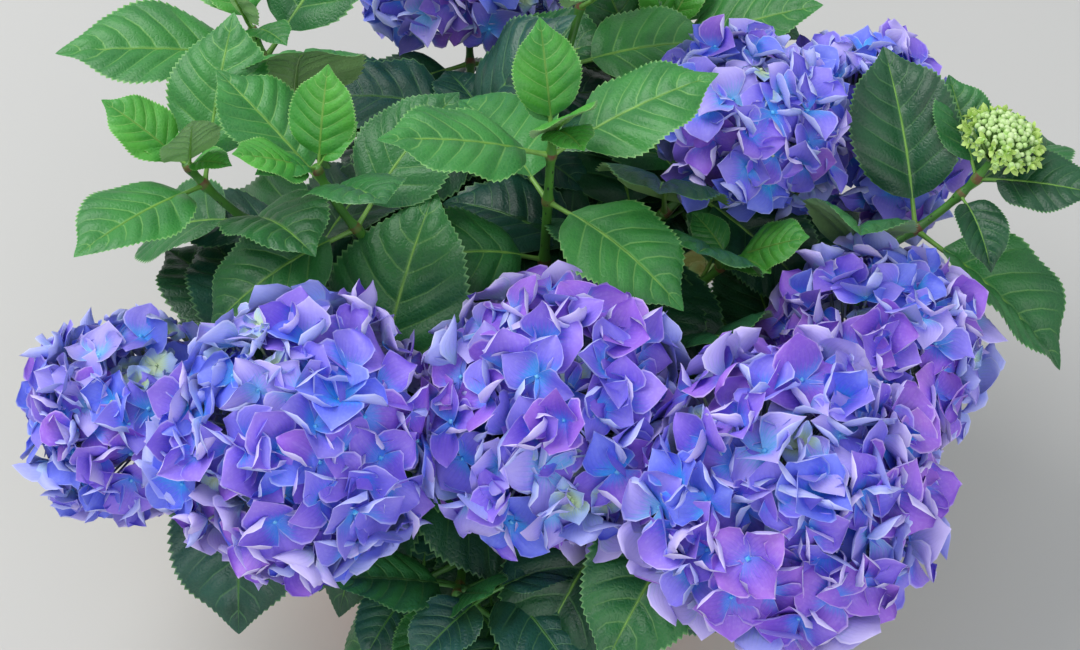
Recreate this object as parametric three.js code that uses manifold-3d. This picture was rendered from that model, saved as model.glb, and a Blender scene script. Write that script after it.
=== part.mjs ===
// A hydrangea shrub in bloom, grown in a round plastic pot and about 0.7 m across. Millimetres, +Z up, +X
// to the right and -Y towards the side that is seen first. The origin is the middle of the pot's
// underside. Canes rise from the compost and fork into shoots. A shoot is a bare stem, then a mass of
// leaves in crossed pairs, and then a round flower head, a green bud head or the young leaves of its tip.
import * as THREE from "three";
import { mergeVertices } from "three/addons/utils/BufferGeometryUtils.js";
import Module from "manifold-3d";

const wasm = await Module();
wasm.setup();

// Driving dimensions, in millimetres and degrees
const GAP = 0.3; // clearance where one piece meets the next
const LOWEST_LEAF = 15; // no leaf hangs nearer the ground than this
const UP = new THREE.Vector3(0, 0, 1);

const POT = {
  height: 200,
  rimRadius: 132,
  neckRadius: 124, // outside the wall, just under the rim band
  baseRadius: 97,
  rimHeight: 24,
  wall: 3,
  floor: 4,
  round: 2, // the softened edges
  segments: 32,
  holes: 6,
  holeRadius: 7,
  holeRing: 66,
  holeSides: 8,
};
const COMPOST = { top: 180, shoulder: 6, segments: 32 };

const CANE = { footRadius: 10, tipRadius: 8.6, sides: 8, rings: 3, lean: 0.5 };
const STEM = { footRadius: 3.9, tipRadius: 3.3, sides: 7, rings: 4, forkRing: 4.9 };
const TWIG = { footRadius: 3.3, tipRadius: 2.5, sides: 5, rings: 6 };
// The stalk of a head starts and ends so many radii of the head under its middle.
const STALK = { radius: 2.5, sides: 5, rings: 3, sunk: 0.45, start: { head: 0.84, bud: 1.1 } };

const LEAF = {
  width: 0.64, // share of the blade's length
  petiole: 0.2, // share of the blade's length
  petioleRadius: 1.7,
  thickness: 0.015, // share of the blade's length
  fold: 11, // each half rises from the midrib
  rows: [0.2, 0.48, 0.78],
  steepest: -25, // a stalk points no further down than this
};
// For each pair from the top of a shoot: how far down the leafy stretch it stands, as a share of it, the
// size of its blades, how steeply they leave the stem, and how far they bend down from foot to point.
const PAIRS = {
  tip: [
    { down: 0.03, size: 0.6, steep: 58, droop: 12 },
    { down: 0.14, size: 0.92, steep: 34, droop: 18 },
    { down: 0.4, size: 1, steep: 22, droop: 38 },
    { down: 0.74, size: 1, steep: 12, droop: 50 },
  ],
  flower: [
    { down: 0.05, size: 0.86, steep: 12, droop: 36 },
    { down: 0.31, size: 1, steep: 12, droop: 44 },
    { down: 0.58, size: 1, steep: 12, droop: 50 },
    { down: 0.85, size: 1, steep: 12, droop: 52 },
  ],
};
const HEAD = {
  flattening: 0.86, // depth along the stem over width
  lowest: 118, // florets cover the head down to this angle from its top
  coreShare: 0.84,
  areaPerFloret: 3500, // square millimetres of the head's skin
  floretRadius: 33,
  notchShare: 0.58,
  cup: 1, // the tips of a floret's petals stand above its middle
  root: 20, // depth of a floret's foot under its middle
  inset: 8, // a floret's middle lies this far inside the head's outline
  wobble: 11,
  press: 1.5, // half the gap between two heads that press against each other
};
const BUD_HEAD = { beads: 13, beadRadius: 6.5, flattening: 0.62, lowest: 88, coreShare: 0.8 };

// Where each cane leaves the compost and where it forks
const CANES = [
  { name: "front_left", foot: [-34, -24], tip: [-50, -40, 224] },
  { name: "front_low", foot: [-16, -42], tip: [-20, -62, 212] },
  { name: "front", foot: [14, -44], tip: [20, -60, 222] },
  { name: "right", foot: [46, -16], tip: [66, -22, 224] },
  { name: "middle_right", foot: [44, 10], tip: [66, 14, 218] },
  { name: "back_right", foot: [36, 34], tip: [50, 52, 226] },
  { name: "back", foot: [-14, 48], tip: [-18, 70, 224] },
  { name: "left", foot: [-50, 14], tip: [-70, 22, 226] },
  { name: "middle_left", foot: [-18, -2], tip: [-28, -4, 240] },
  { name: "middle", foot: [12, 4], tip: [18, 8, 236] },
];

// tip is the middle of the head, or the shoot's growing point. head is the radius of a flower head, bud
// that of a bud head. The shoot leaves its cane at the angle rise above the horizon and ends at the angle
// face. bare is the share of it with no leaves. turn sets the topmost pair of leaves, and leaf the length
// of the longest blade.
const SHOOTS = [
  {
    name: "front_left", cane: "front_left", tip: [-248, -73, 258], head: 68,
    rise: 40, face: 52, pairs: 4, bare: 0.3, turn: 40, leaf: 120,
  },
  {
    name: "front_midleft", cane: "front_left", tip: [-125, -150, 330], head: 84,
    rise: 45, face: 62, pairs: 4, bare: 0.26, turn: 10, leaf: 128,
  },
  {
    name: "front_middle", cane: "front", tip: [29, -132, 332], head: 82,
    rise: 45, face: 66, pairs: 4, bare: 0.24, turn: 30, leaf: 128,
  },
  {
    name: "front_midright", cane: "front", tip: [164, -194, 332], head: 89,
    rise: 22, face: 58, pairs: 4, bare: 0.26, turn: 5, leaf: 132,
  },
  {
    name: "front_right", cane: "right", tip: [238, -46, 280], head: 75,
    rise: 40, face: 54, pairs: 4, bare: 0.3, turn: 35, leaf: 120,
  },
  {
    name: "back_right_inner", cane: "middle", tip: [157, 97, 350], head: 67,
    rise: 50, face: 62, pairs: 4, bare: 0.28, turn: 20, leaf: 120,
  },
  {
    name: "back_right_outer", cane: "back_right", tip: [250, 148, 288], head: 72,
    rise: 35, face: 52, pairs: 4, bare: 0.3, turn: 50, leaf: 120,
  },
  {
    name: "back", cane: "back", tip: [-34, 290, 308], head: 74,
    rise: 45, face: 55, pairs: 4, bare: 0.28, turn: 15, leaf: 124,
  },
  {
    name: "right_bud", cane: "right", tip: [322, 62, 368], bud: 27,
    rise: 18, face: 72, pairs: 4, bare: 0.4, turn: 25, leaf: 112,
  },
  {
    name: "left_leafy", cane: "left", tip: [-205, 24, 388],
    rise: 60, face: 68, pairs: 4, bare: 0.24, turn: 61, leaf: 98,
  },
  {
    name: "midleft_leafy", cane: "middle_left", tip: [-118, -8, 418],
    rise: 65, face: 78, pairs: 4, bare: 0.22, turn: 133, leaf: 100,
  },
  {
    name: "middle_leafy", cane: "middle", tip: [28, 0, 442],
    rise: 85, face: 86, pairs: 4, bare: 0.2, turn: 62, leaf: 106,
  },
  {
    name: "back_left_leafy", cane: "left", tip: [-176, 168, 372],
    rise: 60, face: 62, pairs: 4, bare: 0.24, turn: 80, leaf: 124,
  },
  {
    name: "back_leafy", cane: "back", tip: [52, 190, 398],
    rise: 60, face: 70, pairs: 4, bare: 0.24, turn: 35, leaf: 122,
  },
  {
    name: "right_leafy", cane: "middle_right", tip: [146, 18, 304],
    rise: 40, face: 55, pairs: 3, bare: 0.3, turn: 30, leaf: 106,
  },
  {
    name: "front_low_leafy", cane: "front_low", tip: [-32, -196, 226],
    rise: 20, face: 35, pairs: 3, bare: 0.3, turn: 45, leaf: 104,
  },
  {
    name: "back_low_leafy", cane: "back_right", tip: [112, 236, 306],
    rise: 35, face: 56, pairs: 4, bare: 0.3, turn: 60, leaf: 116,
  },
];

// How far each leaf may stray from its place in the pattern: degrees, and a share of its size
const STRAY = { turn: 9, lift: 6, droop: 8, roll: 12, size: 0.07 };
// A blade that would cut into another piece is tried again with these changes, and is left out at the end.
const TRIES = [
  { turn: 0, lift: 0, size: 1 },
  { turn: 0, lift: -16, size: 1 },
  { turn: 16, lift: -6, size: 1 },
  { turn: -16, lift: -6, size: 1 },
  { turn: 0, lift: 16, size: 0.94 },
  { turn: 26, lift: -24, size: 0.94 },
  { turn: -26, lift: -24, size: 0.94 },
  { turn: 12, lift: 8, size: 0.84 },
  { turn: -12, lift: -34, size: 0.84 },
  { turn: 34, lift: -8, size: 0.78 },
  { turn: -34, lift: -8, size: 0.78 },
];
const OWN_ROOTS = 60; // cubic millimetres that two leaves of one stem may share where their stalks meet

const radians = THREE.MathUtils.degToRad;
const vector = (place) => new THREE.Vector3(...place);

// Seeded draws between -1 and 1, by the minimal standard generator
function drawsFrom(seed) {
  const modulus = 2147483647;
  let state = (seed * 7919 + 12345) % modulus;
  return () => {
    state = (state * 16807) % modulus;
    return (2 * state) / modulus - 1;
  };
}

// Joining and cutting

function solidOf(geometry) {
  const bare = geometry.clone();
  bare.deleteAttribute("normal");
  bare.deleteAttribute("uv");
  const { attributes, index } = mergeVertices(bare, 1e-3);
  const vertProperties = attributes.position.array;
  const triVerts = new Uint32Array(index.array);
  return new wasm.Manifold(new wasm.Mesh({ numProp: 3, vertProperties, triVerts }));
}

function geometryOf(solid) {
  const { vertProperties, triVerts } = solid.getMesh();
  const indexed = new THREE.BufferGeometry();
  indexed.setAttribute("position", new THREE.BufferAttribute(vertProperties, 3));
  indexed.setIndex(new THREE.BufferAttribute(triVerts, 1));
  const faceted = indexed.toNonIndexed();
  faceted.computeVertexNormals();
  return faceted;
}

function boxOf(solid) {
  const { min, max } = solid.boundingBox();
  return new THREE.Box3(vector(min), vector(max));
}

function shared(a, b) {
  return a.box.intersectsBox(b.box) ? a.solid.intersect(b.solid).volume() : 0;
}

// Rings of the same number of points, skinned into one closed body. A ring of one point closes an end.
function skin(rings) {
  const places = rings.flat().flatMap((point) => point.toArray());
  const starts = rings.map((ring, i) => rings.slice(0, i).reduce((sum, r) => sum + r.length, 0));
  const faces = [];
  rings.slice(1).forEach((ring, i) => {
    const below = rings[i];
    const [a, b] = [starts[i], starts[i + 1]];
    const count = Math.max(ring.length, below.length);
    for (let k = 0; k < count; k++) {
      const next = (k + 1) % count;
      if (below.length > 1) faces.push(a + k, a + next, ring.length > 1 ? b + next : b);
      if (ring.length > 1) faces.push(below.length > 1 ? a + k : a, b + next, b + k);
    }
  });
  for (let k = 1; k + 1 < rings[0].length; k++) faces.push(0, k + 1, k);
  const last = starts.at(-1);
  for (let k = 1; k + 1 < rings.at(-1).length; k++) faces.push(last, last + k, last + k + 1);
  const geometry = new THREE.BufferGeometry();
  geometry.setAttribute("position", new THREE.Float32BufferAttribute(places, 3));
  geometry.setIndex(faces);
  return geometry;
}

// Limbs

// A path sets out from its foot and ends along its axis. Its two handles are a third of the straight length
// each, so that equal steps of the parameter are nearly equal lengths.
function pathBetween(foot, tip, start, axis) {
  const handle = foot.distanceTo(tip) / 3;
  const path = new THREE.CubicBezierCurve3(
    foot,
    foot.clone().addScaledVector(start, handle),
    tip.clone().addScaledVector(axis, -handle),
    tip,
  );
  path.length = foot.distanceTo(tip);
  return path;
}

function limb(path, from, to, { footRadius, tipRadius, sides, rings }, footFaces) {
  const { v0, v3 } = path;
  const level = new THREE.Vector3(v3.x - v0.x, v3.y - v0.y, 0).normalize();
  const across = new THREE.Vector3().crossVectors(UP, level);
  const loops = [];
  for (let i = 0; i < rings; i++) {
    const share = i / (rings - 1);
    const t = from + (to - from) * share;
    const middle = path.getPoint(t);
    const ahead = i === 0 && footFaces ? footFaces.clone() : path.getTangent(t);
    const u = across.clone().addScaledVector(ahead, -across.dot(ahead)).normalize();
    const v = new THREE.Vector3().crossVectors(ahead, u);
    const radius = footRadius + (tipRadius - footRadius) * share;
    const loop = [];
    for (let k = 0; k < sides; k++) {
      const angle = (2 * Math.PI * k) / sides;
      loop.push(
        middle
          .clone()
          .addScaledVector(u, radius * Math.cos(angle))
          .addScaledVector(v, radius * Math.sin(angle)),
      );
    }
    loops.push(loop);
  }
  return skin(loops);
}

// Leaves

// How broad a blade is at a share s of its length, over its greatest width: broad below the middle, drawn
// out to a point.
function breadth(s) {
  return 2.74 * s ** 0.62 * (1 - s) ** 0.86;
}

// A leaf lies in an upright plane at its bearing. Its stalk leaves the stem at the angle lift, and its
// midrib bends down by droop in a plain arc.
function bladePoint(leaf, s, side, depth) {
  const bend = radians(leaf.droop);
  const lift = radians(leaf.lift);
  const out = (leaf.length * (Math.sin(lift) - Math.sin(lift - bend * s))) / bend;
  const rise = (leaf.length * (Math.cos(lift - bend * s) - Math.cos(lift))) / bend;
  const stalk = leaf.length * LEAF.petiole;
  const angle = lift - bend * s;
  const level = new THREE.Vector3(Math.cos(radians(leaf.bearing)), Math.sin(radians(leaf.bearing)), 0);
  const across = new THREE.Vector3(-level.y, level.x, 0);
  const normal = level.clone().multiplyScalar(-Math.sin(angle)).addScaledVector(UP, Math.cos(angle));
  const roll = radians(leaf.roll);
  const sideways = across.clone().multiplyScalar(Math.cos(roll)).addScaledVector(normal, Math.sin(roll));
  const upright = normal.multiplyScalar(Math.cos(roll)).addScaledVector(across, -Math.sin(roll));
  return leaf.root
    .clone()
    .addScaledVector(level, out + stalk * Math.cos(lift))
    .addScaledVector(UP, rise + stalk * Math.sin(lift))
    .addScaledVector(sideways, side)
    .addScaledVector(upright, depth);
}

function leafSolid(leaf) {
  const { petioleRadius, fold, rows, width, thickness } = LEAF;
  const diamond = (s, half, thick, raise) => [
    bladePoint(leaf, s, half, raise),
    bladePoint(leaf, s, 0, thick),
    bladePoint(leaf, s, -half, raise),
    bladePoint(leaf, s, 0, -thick),
  ];
  const root = diamond(0, petioleRadius, petioleRadius, 0);
  const stalk = leaf.root.clone().sub(bladePoint(leaf, 0, 0, 0));
  const rings = [root.map((p) => p.clone().add(stalk)), root];
  for (const s of rows) {
    const half = (leaf.length * width * breadth(s)) / 2;
    const thick = (leaf.length * thickness) / 2;
    rings.push(diamond(s, half * Math.cos(radians(fold)), thick, half * Math.sin(radians(fold))));
  }
  rings.push([bladePoint(leaf, 1, 0, 0)]);
  return solidOf(skin(rings));
}

// The leaf on one side of a pair. The pairs stand crossed up the stem, and the topmost are the shortest
// and steepest.
function leafOn(shoot, pair, side, stray, attempt) {
  const { from, to } = shoot.leafy;
  const { down, size, steep, droop } = (shoot.head ? PAIRS.flower : PAIRS.tip)[pair];
  const t = to - down * (to - from);
  const axis = shoot.path.getTangent(t);
  const level = new THREE.Vector3(-shoot.lean.y, shoot.lean.x, 0);
  const u = level.addScaledVector(axis, -level.dot(axis)).normalize();
  const v = new THREE.Vector3().crossVectors(axis, u);
  const turn = radians(shoot.turn + 90 * pair + 180 * side + stray.turn);
  const rise = radians(steep);
  const ahead = u
    .multiplyScalar(Math.cos(turn) * Math.cos(rise))
    .addScaledVector(v, Math.sin(turn) * Math.cos(rise))
    .addScaledVector(axis, Math.sin(rise));
  const lift = THREE.MathUtils.radToDeg(Math.asin(ahead.z));
  return {
    root: shoot.path.getPoint(t),
    bearing: THREE.MathUtils.radToDeg(Math.atan2(ahead.y, ahead.x)) + attempt.turn,
    lift: Math.max(lift, LEAF.steepest) + attempt.lift + stray.lift,
    droop: droop + stray.droop,
    roll: stray.roll,
    length: shoot.leaf * size * attempt.size * (1 + stray.size),
  };
}

// Flower heads

// A head's outline from its middle in a direction: a flattened ball, kept short of the plane where it
// presses against a neighbour. Gives the distance and the way the skin faces there.
function headSkin(head, direction) {
  const along = direction.dot(head.axis);
  const depth = head.radius * HEAD.flattening;
  let distance = 1 / Math.sqrt(along ** 2 / depth ** 2 + (1 - along ** 2) / head.radius ** 2);
  let normal = direction
    .clone()
    .addScaledVector(head.axis, along * ((head.radius / depth) ** 2 - 1))
    .normalize();
  for (const wall of head.walls) {
    const towards = direction.dot(wall.normal);
    if (towards > 0 && wall.distance / towards < distance) {
      distance = wall.distance / towards;
      normal = wall.normal.clone();
    }
  }
  return { distance, normal };
}

// The planes midway between a head and the heads that it presses against
function wallsOf(head, heads) {
  return heads
    .filter((other) => other !== head)
    .map((other) => {
      const towards = other.middle.clone().sub(head.middle);
      const apart = towards.length();
      const share = head.radius / (head.radius + other.radius);
      return { normal: towards.divideScalar(apart), distance: apart * share - HEAD.press };
    })
    .filter((wall) => wall.distance < head.radius + HEAD.inset);
}

function keptIn(head, point) {
  for (const { normal, distance } of head.walls) {
    const over = point.clone().sub(head.middle).dot(normal) - distance;
    if (over > 0) point.addScaledVector(normal, -over);
  }
  return point;
}

// Directions spread evenly over a ball from its top down to an angle, by turns of the golden angle
function spreadOver(axis, count, lowest) {
  const side = new THREE.Vector3(-axis.y, axis.x, 0).normalize();
  const other = new THREE.Vector3().crossVectors(axis, side);
  const golden = Math.PI * (3 - Math.sqrt(5));
  const bottom = Math.cos(radians(lowest));
  return Array.from({ length: count }, (_, i) => {
    const height = 1 - ((i + 0.5) / count) * (1 - bottom);
    const ring = Math.sqrt(1 - height ** 2);
    return axis
      .clone()
      .multiplyScalar(height)
      .addScaledVector(side, ring * Math.cos(i * golden))
      .addScaledVector(other, ring * Math.sin(i * golden));
  });
}

// A floret is a four-pointed cup on a pointed foot that is sunk in the core.
function floretSolid(head, direction, draw) {
  const { distance, normal } = headSkin(head, direction);
  const middle = head.middle.clone().addScaledVector(direction, distance - HEAD.inset);
  const aside = Math.abs(normal.z) < 0.8 ? UP : new THREE.Vector3(1, 0, 0);
  const u = new THREE.Vector3().crossVectors(normal, aside).normalize();
  const v = new THREE.Vector3().crossVectors(normal, u);
  const tilt = new THREE.Vector3()
    .addScaledVector(u, Math.tan(radians(HEAD.wobble)) * draw())
    .addScaledVector(v, Math.tan(radians(HEAD.wobble)) * draw());
  const turn = Math.PI * draw();
  const radius = HEAD.floretRadius * (1 + 0.12 * draw());
  const loop = [];
  for (let k = 0; k < 8; k++) {
    const angle = turn + (Math.PI * k) / 4;
    const petal = k % 2 === 0;
    const reach = radius * (petal ? 1 : HEAD.notchShare);
    const way = u.clone().multiplyScalar(Math.cos(angle)).addScaledVector(v, Math.sin(angle));
    const lift = (petal ? HEAD.cup : 0) + reach * tilt.dot(way);
    loop.push(keptIn(head, middle.clone().addScaledVector(way, reach).addScaledVector(normal, lift)));
  }
  const face = [middle.clone().addScaledVector(normal, -HEAD.cup)];
  const foot = [middle.clone().addScaledVector(direction, -HEAD.root)];
  return solidOf(skin([foot, loop, face]));
}

function coreSolid(head, share, depthShare) {
  const ball = new THREE.IcosahedronGeometry(1, 1);
  const place = ball.getAttribute("position");
  for (let i = 0; i < place.count; i++) {
    const direction = new THREE.Vector3().fromBufferAttribute(place, i).normalize();
    const reach = depthShare
      ? head.radius / Math.sqrt(1 + direction.dot(head.axis) ** 2 * (1 / depthShare ** 2 - 1))
      : headSkin(head, direction).distance;
    const at = head.middle.clone().addScaledVector(direction, reach * share);
    place.setXYZ(i, at.x, at.y, at.z);
  }
  return solidOf(ball);
}

function stalkSolid({ path, from, to }) {
  const { radius, sides, rings } = STALK;
  return solidOf(limb(path, from, to, { footRadius: radius, tipRadius: radius, sides, rings }));
}

function flowerHeadSolid(head) {
  const skinArea = 2 * Math.PI * head.radius ** 2 * (1 - Math.cos(radians(HEAD.lowest)));
  const count = Math.round(skinArea / HEAD.areaPerFloret);
  const draw = drawsFrom(head.seed);
  return spreadOver(head.axis, count, HEAD.lowest).reduce(
    (made, direction) => made.add(floretSolid(head, direction, draw)),
    coreSolid(head, HEAD.coreShare).add(stalkSolid(head)),
  );
}

function budHeadSolid(head) {
  const { beads, beadRadius, flattening, lowest, coreShare } = BUD_HEAD;
  return spreadOver(head.axis, beads, lowest).reduce(
    (made, direction) => {
      const along = direction.dot(head.axis);
      const reach = head.radius / Math.sqrt(1 + along ** 2 * (1 / flattening ** 2 - 1));
      const bead = new THREE.OctahedronGeometry(beadRadius);
      const at = head.middle.clone().addScaledVector(direction, reach - beadRadius);
      bead.translate(at.x, at.y, at.z);
      return made.add(solidOf(bead));
    },
    coreSolid(head, coreShare, flattening).add(stalkSolid(head)),
  );
}

// The pot and what fills it

function latheSolid(profile, segments) {
  const turned = new THREE.LatheGeometry(profile.map(([r, z]) => new THREE.Vector2(r, z)), segments);
  turned.rotateX(Math.PI / 2);
  return solidOf(turned);
}

function potWallRadius(z) {
  const { baseRadius, neckRadius, height } = POT;
  return baseRadius + ((neckRadius - baseRadius) * z) / height;
}

function potSolid() {
  const { height, rimRadius, neckRadius, baseRadius, rimHeight, wall, floor, round } = POT;
  const band = height - rimHeight;
  const profile = [
    [0, 0],
    [baseRadius - round, 0],
    [baseRadius, round],
    [potWallRadius(band), band],
    [rimRadius - round, band + round / 2],
    [rimRadius, height - round],
    [rimRadius - round, height],
    [neckRadius - wall, height],
    [potWallRadius(floor) - wall, floor],
    [0, floor],
  ];
  const drill = new THREE.CylinderGeometry(POT.holeRadius, POT.holeRadius, 3 * floor, POT.holeSides);
  drill.rotateX(Math.PI / 2);
  let pot = latheSolid(profile, POT.segments);
  for (let k = 0; k < POT.holes; k++) {
    const angle = (2 * Math.PI * (k + 0.5)) / POT.holes;
    const [x, y] = [Math.cos(angle), Math.sin(angle)].map((share) => POT.holeRing * share);
    pot = pot.subtract(solidOf(drill.clone().translate(x, y, floor / 2)));
  }
  return pot;
}

function compostSolid() {
  const { floor, wall } = POT;
  const { top, shoulder } = COMPOST;
  const inside = (z) => potWallRadius(z) - wall - 1.5 * GAP;
  const bottom = floor + GAP;
  const profile = [
    [0, bottom],
    [inside(bottom), bottom],
    [inside(top - shoulder), top - shoulder],
    [inside(top) - 2 * shoulder, top],
    [0, top],
  ];
  return latheSolid(profile, COMPOST.segments);
}

// Putting the plant together

const pieces = [];

function put(name, solid, material) {
  pieces.push({ name, solid, material, box: boxOf(solid) });
}

function finish(color, roughness) {
  return new THREE.MeshStandardMaterial({ color, roughness, metalness: 0 });
}
const plastic = finish(0xe2601a, 0.5);
const soil = finish(0x3a2a1e, 0.95);
const wood = finish(0x6f6a45, 0.8);
const greenStem = finish(0x5d8a35, 0.6);
const foliage = finish(0x4c8a4a, 0.55);
const petals = finish(0x7f78d8, 0.7);
const greenBuds = finish(0xb4d873, 0.6);

put("pot", potSolid(), plastic);
put("compost", compostSolid(), soil);

const levelTowards = (from, to) => to.clone().sub(from).setZ(0).normalize();

function tilted(level, angle) {
  return level
    .clone()
    .multiplyScalar(Math.cos(radians(angle)))
    .addScaledVector(UP, Math.sin(radians(angle)));
}

const forks = new Map();
for (const { name, foot, tip } of CANES) {
  const end = vector(tip);
  const ahead = levelTowards(new THREE.Vector3(), end).multiplyScalar(CANE.lean).add(UP).normalize();
  const path = pathBetween(new THREE.Vector3(...foot, COMPOST.top + GAP), end, UP, ahead);
  put("cane_" + name, solidOf(limb(path, 0, 1, CANE, UP)), wood);
  forks.set(name, { tip: end, ahead });
}

// A shoot stands on the flat top of its cane, on the side that is turned away from the others there.
const shoots = SHOOTS.map((shoot) => {
  const { tip, ahead } = forks.get(shoot.cane);
  const end = vector(shoot.tip);
  const lean = levelTowards(tip, end);
  const side = SHOOTS.filter((other) => other.cane === shoot.cane).reduce(
    (sum, other) => sum.add(lean).sub(levelTowards(tip, vector(other.tip))),
    new THREE.Vector3(),
  );
  side.addScaledVector(ahead, -side.dot(ahead)).normalize();
  const foot = tip.clone().addScaledVector(side, STEM.forkRing).addScaledVector(ahead, GAP);
  const axis = tilted(lean, shoot.face);
  const path = pathBetween(foot, end, tilted(lean, shoot.rise), axis);
  const gap = GAP / path.length;
  const { start, sunk } = STALK;
  const under = ((shoot.head ?? 0) * start.head + (shoot.bud ?? 0) * start.bud) / path.length;
  const radius = shoot.head ?? shoot.bud ?? 0;
  put("stem_" + shoot.name, solidOf(limb(path, 0, shoot.bare, STEM, ahead)), greenStem);
  return {
    ...shoot,
    lean,
    axis,
    path,
    leafy: { from: shoot.bare + gap, to: 1 - under },
    stalk: { path, from: 1 - under + gap, to: 1 - (sunk * radius) / path.length },
    middle: end,
    radius,
  };
});

const heads = shoots
  .filter((shoot) => shoot.radius)
  .map((shoot, i) => ({ ...shoot, ...shoot.stalk, seed: i + 1 }));
for (const head of heads) {
  head.walls = wallsOf(head, heads);
  if (head.bud) put("bud_head_" + head.name, budHeadSolid(head), greenBuds);
  else put("flower_head_" + head.name, flowerHeadSolid(head), petals);
}

// The masses of leaves come last. Their twigs are all set out first, and each blade is then fitted in
// among the rest.
const twigs = new Map(
  shoots.map(({ name, path, leafy }) => [name, solidOf(limb(path, leafy.from, leafy.to, TWIG))]),
);
const taken = pieces.map(({ solid, box }) => ({ solid, box }));
for (const [name, solid] of twigs) taken.push({ solid, box: boxOf(solid), mass: name, isTwig: true });

function fits(leaf) {
  if (leaf.box.min.z < LOWEST_LEAF) return false;
  return taken.every((other) => {
    if (other.mass !== leaf.mass) return shared(leaf, other) === 0;
    return other.isTwig || shared(leaf, other) < OWN_ROOTS;
  });
}

shoots.forEach((shoot, index) => {
  const draw = drawsFrom(101 + index);
  let mass = twigs.get(shoot.name);
  for (let pair = 0; pair < shoot.pairs; pair++) {
    for (let side = 0; side < 2; side++) {
      const stray = Object.fromEntries(Object.entries(STRAY).map(([key, most]) => [key, most * draw()]));
      for (const attempt of TRIES) {
        const solid = leafSolid(leafOn(shoot, pair, side, stray, attempt));
        const leaf = { solid, box: boxOf(solid), mass: shoot.name };
        if (!fits(leaf)) continue;
        taken.push(leaf);
        mass = mass.add(solid);
        break;
      }
    }
  }
  put("foliage_" + shoot.name, mass, foliage);
});

const hydrangea = new THREE.Group();
for (const { name, solid, material } of pieces) {
  const mesh = new THREE.Mesh(geometryOf(solid), material);
  mesh.name = name;
  hydrangea.add(mesh);
}

export default hydrangea;
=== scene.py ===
"""Dresses a hydrangea shrub in bloom, in its round plastic pot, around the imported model.

The shoots, leaves and flower heads follow the rule that the model was grown by, and are carried on to
real florets, toothed blades, leaf stalks and bark. Sizes are in millimetres and angles in degrees until a
mesh is made, which is in metres. +Z is up, +X to the right and -Y towards the side that is seen first.
"""

import logging
import math
from dataclasses import dataclass, field, fields, replace
from enum import Enum
from itertools import product
from typing import ClassVar

import bpy
import numpy as np
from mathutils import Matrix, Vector


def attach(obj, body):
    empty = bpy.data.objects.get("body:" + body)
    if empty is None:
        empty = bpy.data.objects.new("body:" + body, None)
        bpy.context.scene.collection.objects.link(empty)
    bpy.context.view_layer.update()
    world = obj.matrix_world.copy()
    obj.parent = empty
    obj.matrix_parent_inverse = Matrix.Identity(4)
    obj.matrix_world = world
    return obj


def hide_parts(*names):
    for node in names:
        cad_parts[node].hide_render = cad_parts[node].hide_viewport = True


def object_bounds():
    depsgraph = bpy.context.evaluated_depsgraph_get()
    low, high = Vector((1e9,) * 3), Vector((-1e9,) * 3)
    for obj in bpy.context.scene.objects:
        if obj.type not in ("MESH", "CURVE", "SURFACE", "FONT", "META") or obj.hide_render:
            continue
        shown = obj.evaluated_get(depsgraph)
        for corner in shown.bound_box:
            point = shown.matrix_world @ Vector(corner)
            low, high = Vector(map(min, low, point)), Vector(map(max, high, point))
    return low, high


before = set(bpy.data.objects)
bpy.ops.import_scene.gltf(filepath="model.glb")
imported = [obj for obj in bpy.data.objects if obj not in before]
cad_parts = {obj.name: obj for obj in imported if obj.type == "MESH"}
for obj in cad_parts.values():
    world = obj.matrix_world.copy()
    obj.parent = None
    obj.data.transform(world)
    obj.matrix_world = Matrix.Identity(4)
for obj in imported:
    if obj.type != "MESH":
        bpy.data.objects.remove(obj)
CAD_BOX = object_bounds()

log = logging.getLogger("hydrangea")

MM = 0.001
BODY = "root"
BAKE_MAP = "OFBake"
SHAPE_MAP = "shape"
SHEET_MARGIN = 0.04
UP = np.array([0.0, 0.0, 1.0])
Array = np.ndarray
Draws = np.random.Generator
Colour = tuple[float, float, float]


# Small sums


def unit(vectors: Array) -> Array:
    """The same directions with length one."""
    return vectors / np.maximum(np.linalg.norm(vectors, axis=-1, keepdims=True), 1e-12)


def smooth(values: Array, low: float, high: float) -> Array:
    """Rises from 0 at low to 1 at high along 3t² - 2t³."""
    t = np.clip((values - low) / (high - low), 0.0, 1.0)
    return t * t * (3.0 - 2.0 * t)


def linear(colour: str) -> Colour:
    """A colour as seen on a screen, such as "5d8a35", in linear light.

    Args:
        colour: Six hexadecimal digits.

    Returns:
        Red, green and blue, each c/12.92 below 0.04045 and ((c + 0.055)/1.055)^2.4 above.
    """
    seen = [int(colour[i : i + 2], 16) / 255 for i in (0, 2, 4)]
    return tuple(c / 12.92 if c <= 0.04045 else ((c + 0.055) / 1.055) ** 2.4 for c in seen)


def draws_from(seed: int, count: int) -> Array:
    """Seeded draws between -1 and 1 by the minimal standard generator, as the model's source makes them.

    Args:
        seed: Names the row of draws.
        count: How many draws.

    Returns:
        The draws in order. Each state is 16807 times the last, modulo 2147483647.
    """
    modulus = 2147483647
    state = (seed * 7919 + 12345) % modulus
    drawn = []
    for _ in range(count):
        state = state * 16807 % modulus
        drawn.append(2 * state / modulus - 1)
    return np.array(drawn)


def around(count: int) -> Array:
    """Angles spread evenly over a full turn, from 0."""
    return np.arange(count) * 2 * math.pi / count


def level_way(bearing: Array) -> Array:
    """The level directions at bearings in degrees round from +X."""
    angle = np.radians(bearing)
    return np.stack([np.cos(angle), np.sin(angle), 0 * angle], -1)


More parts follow.
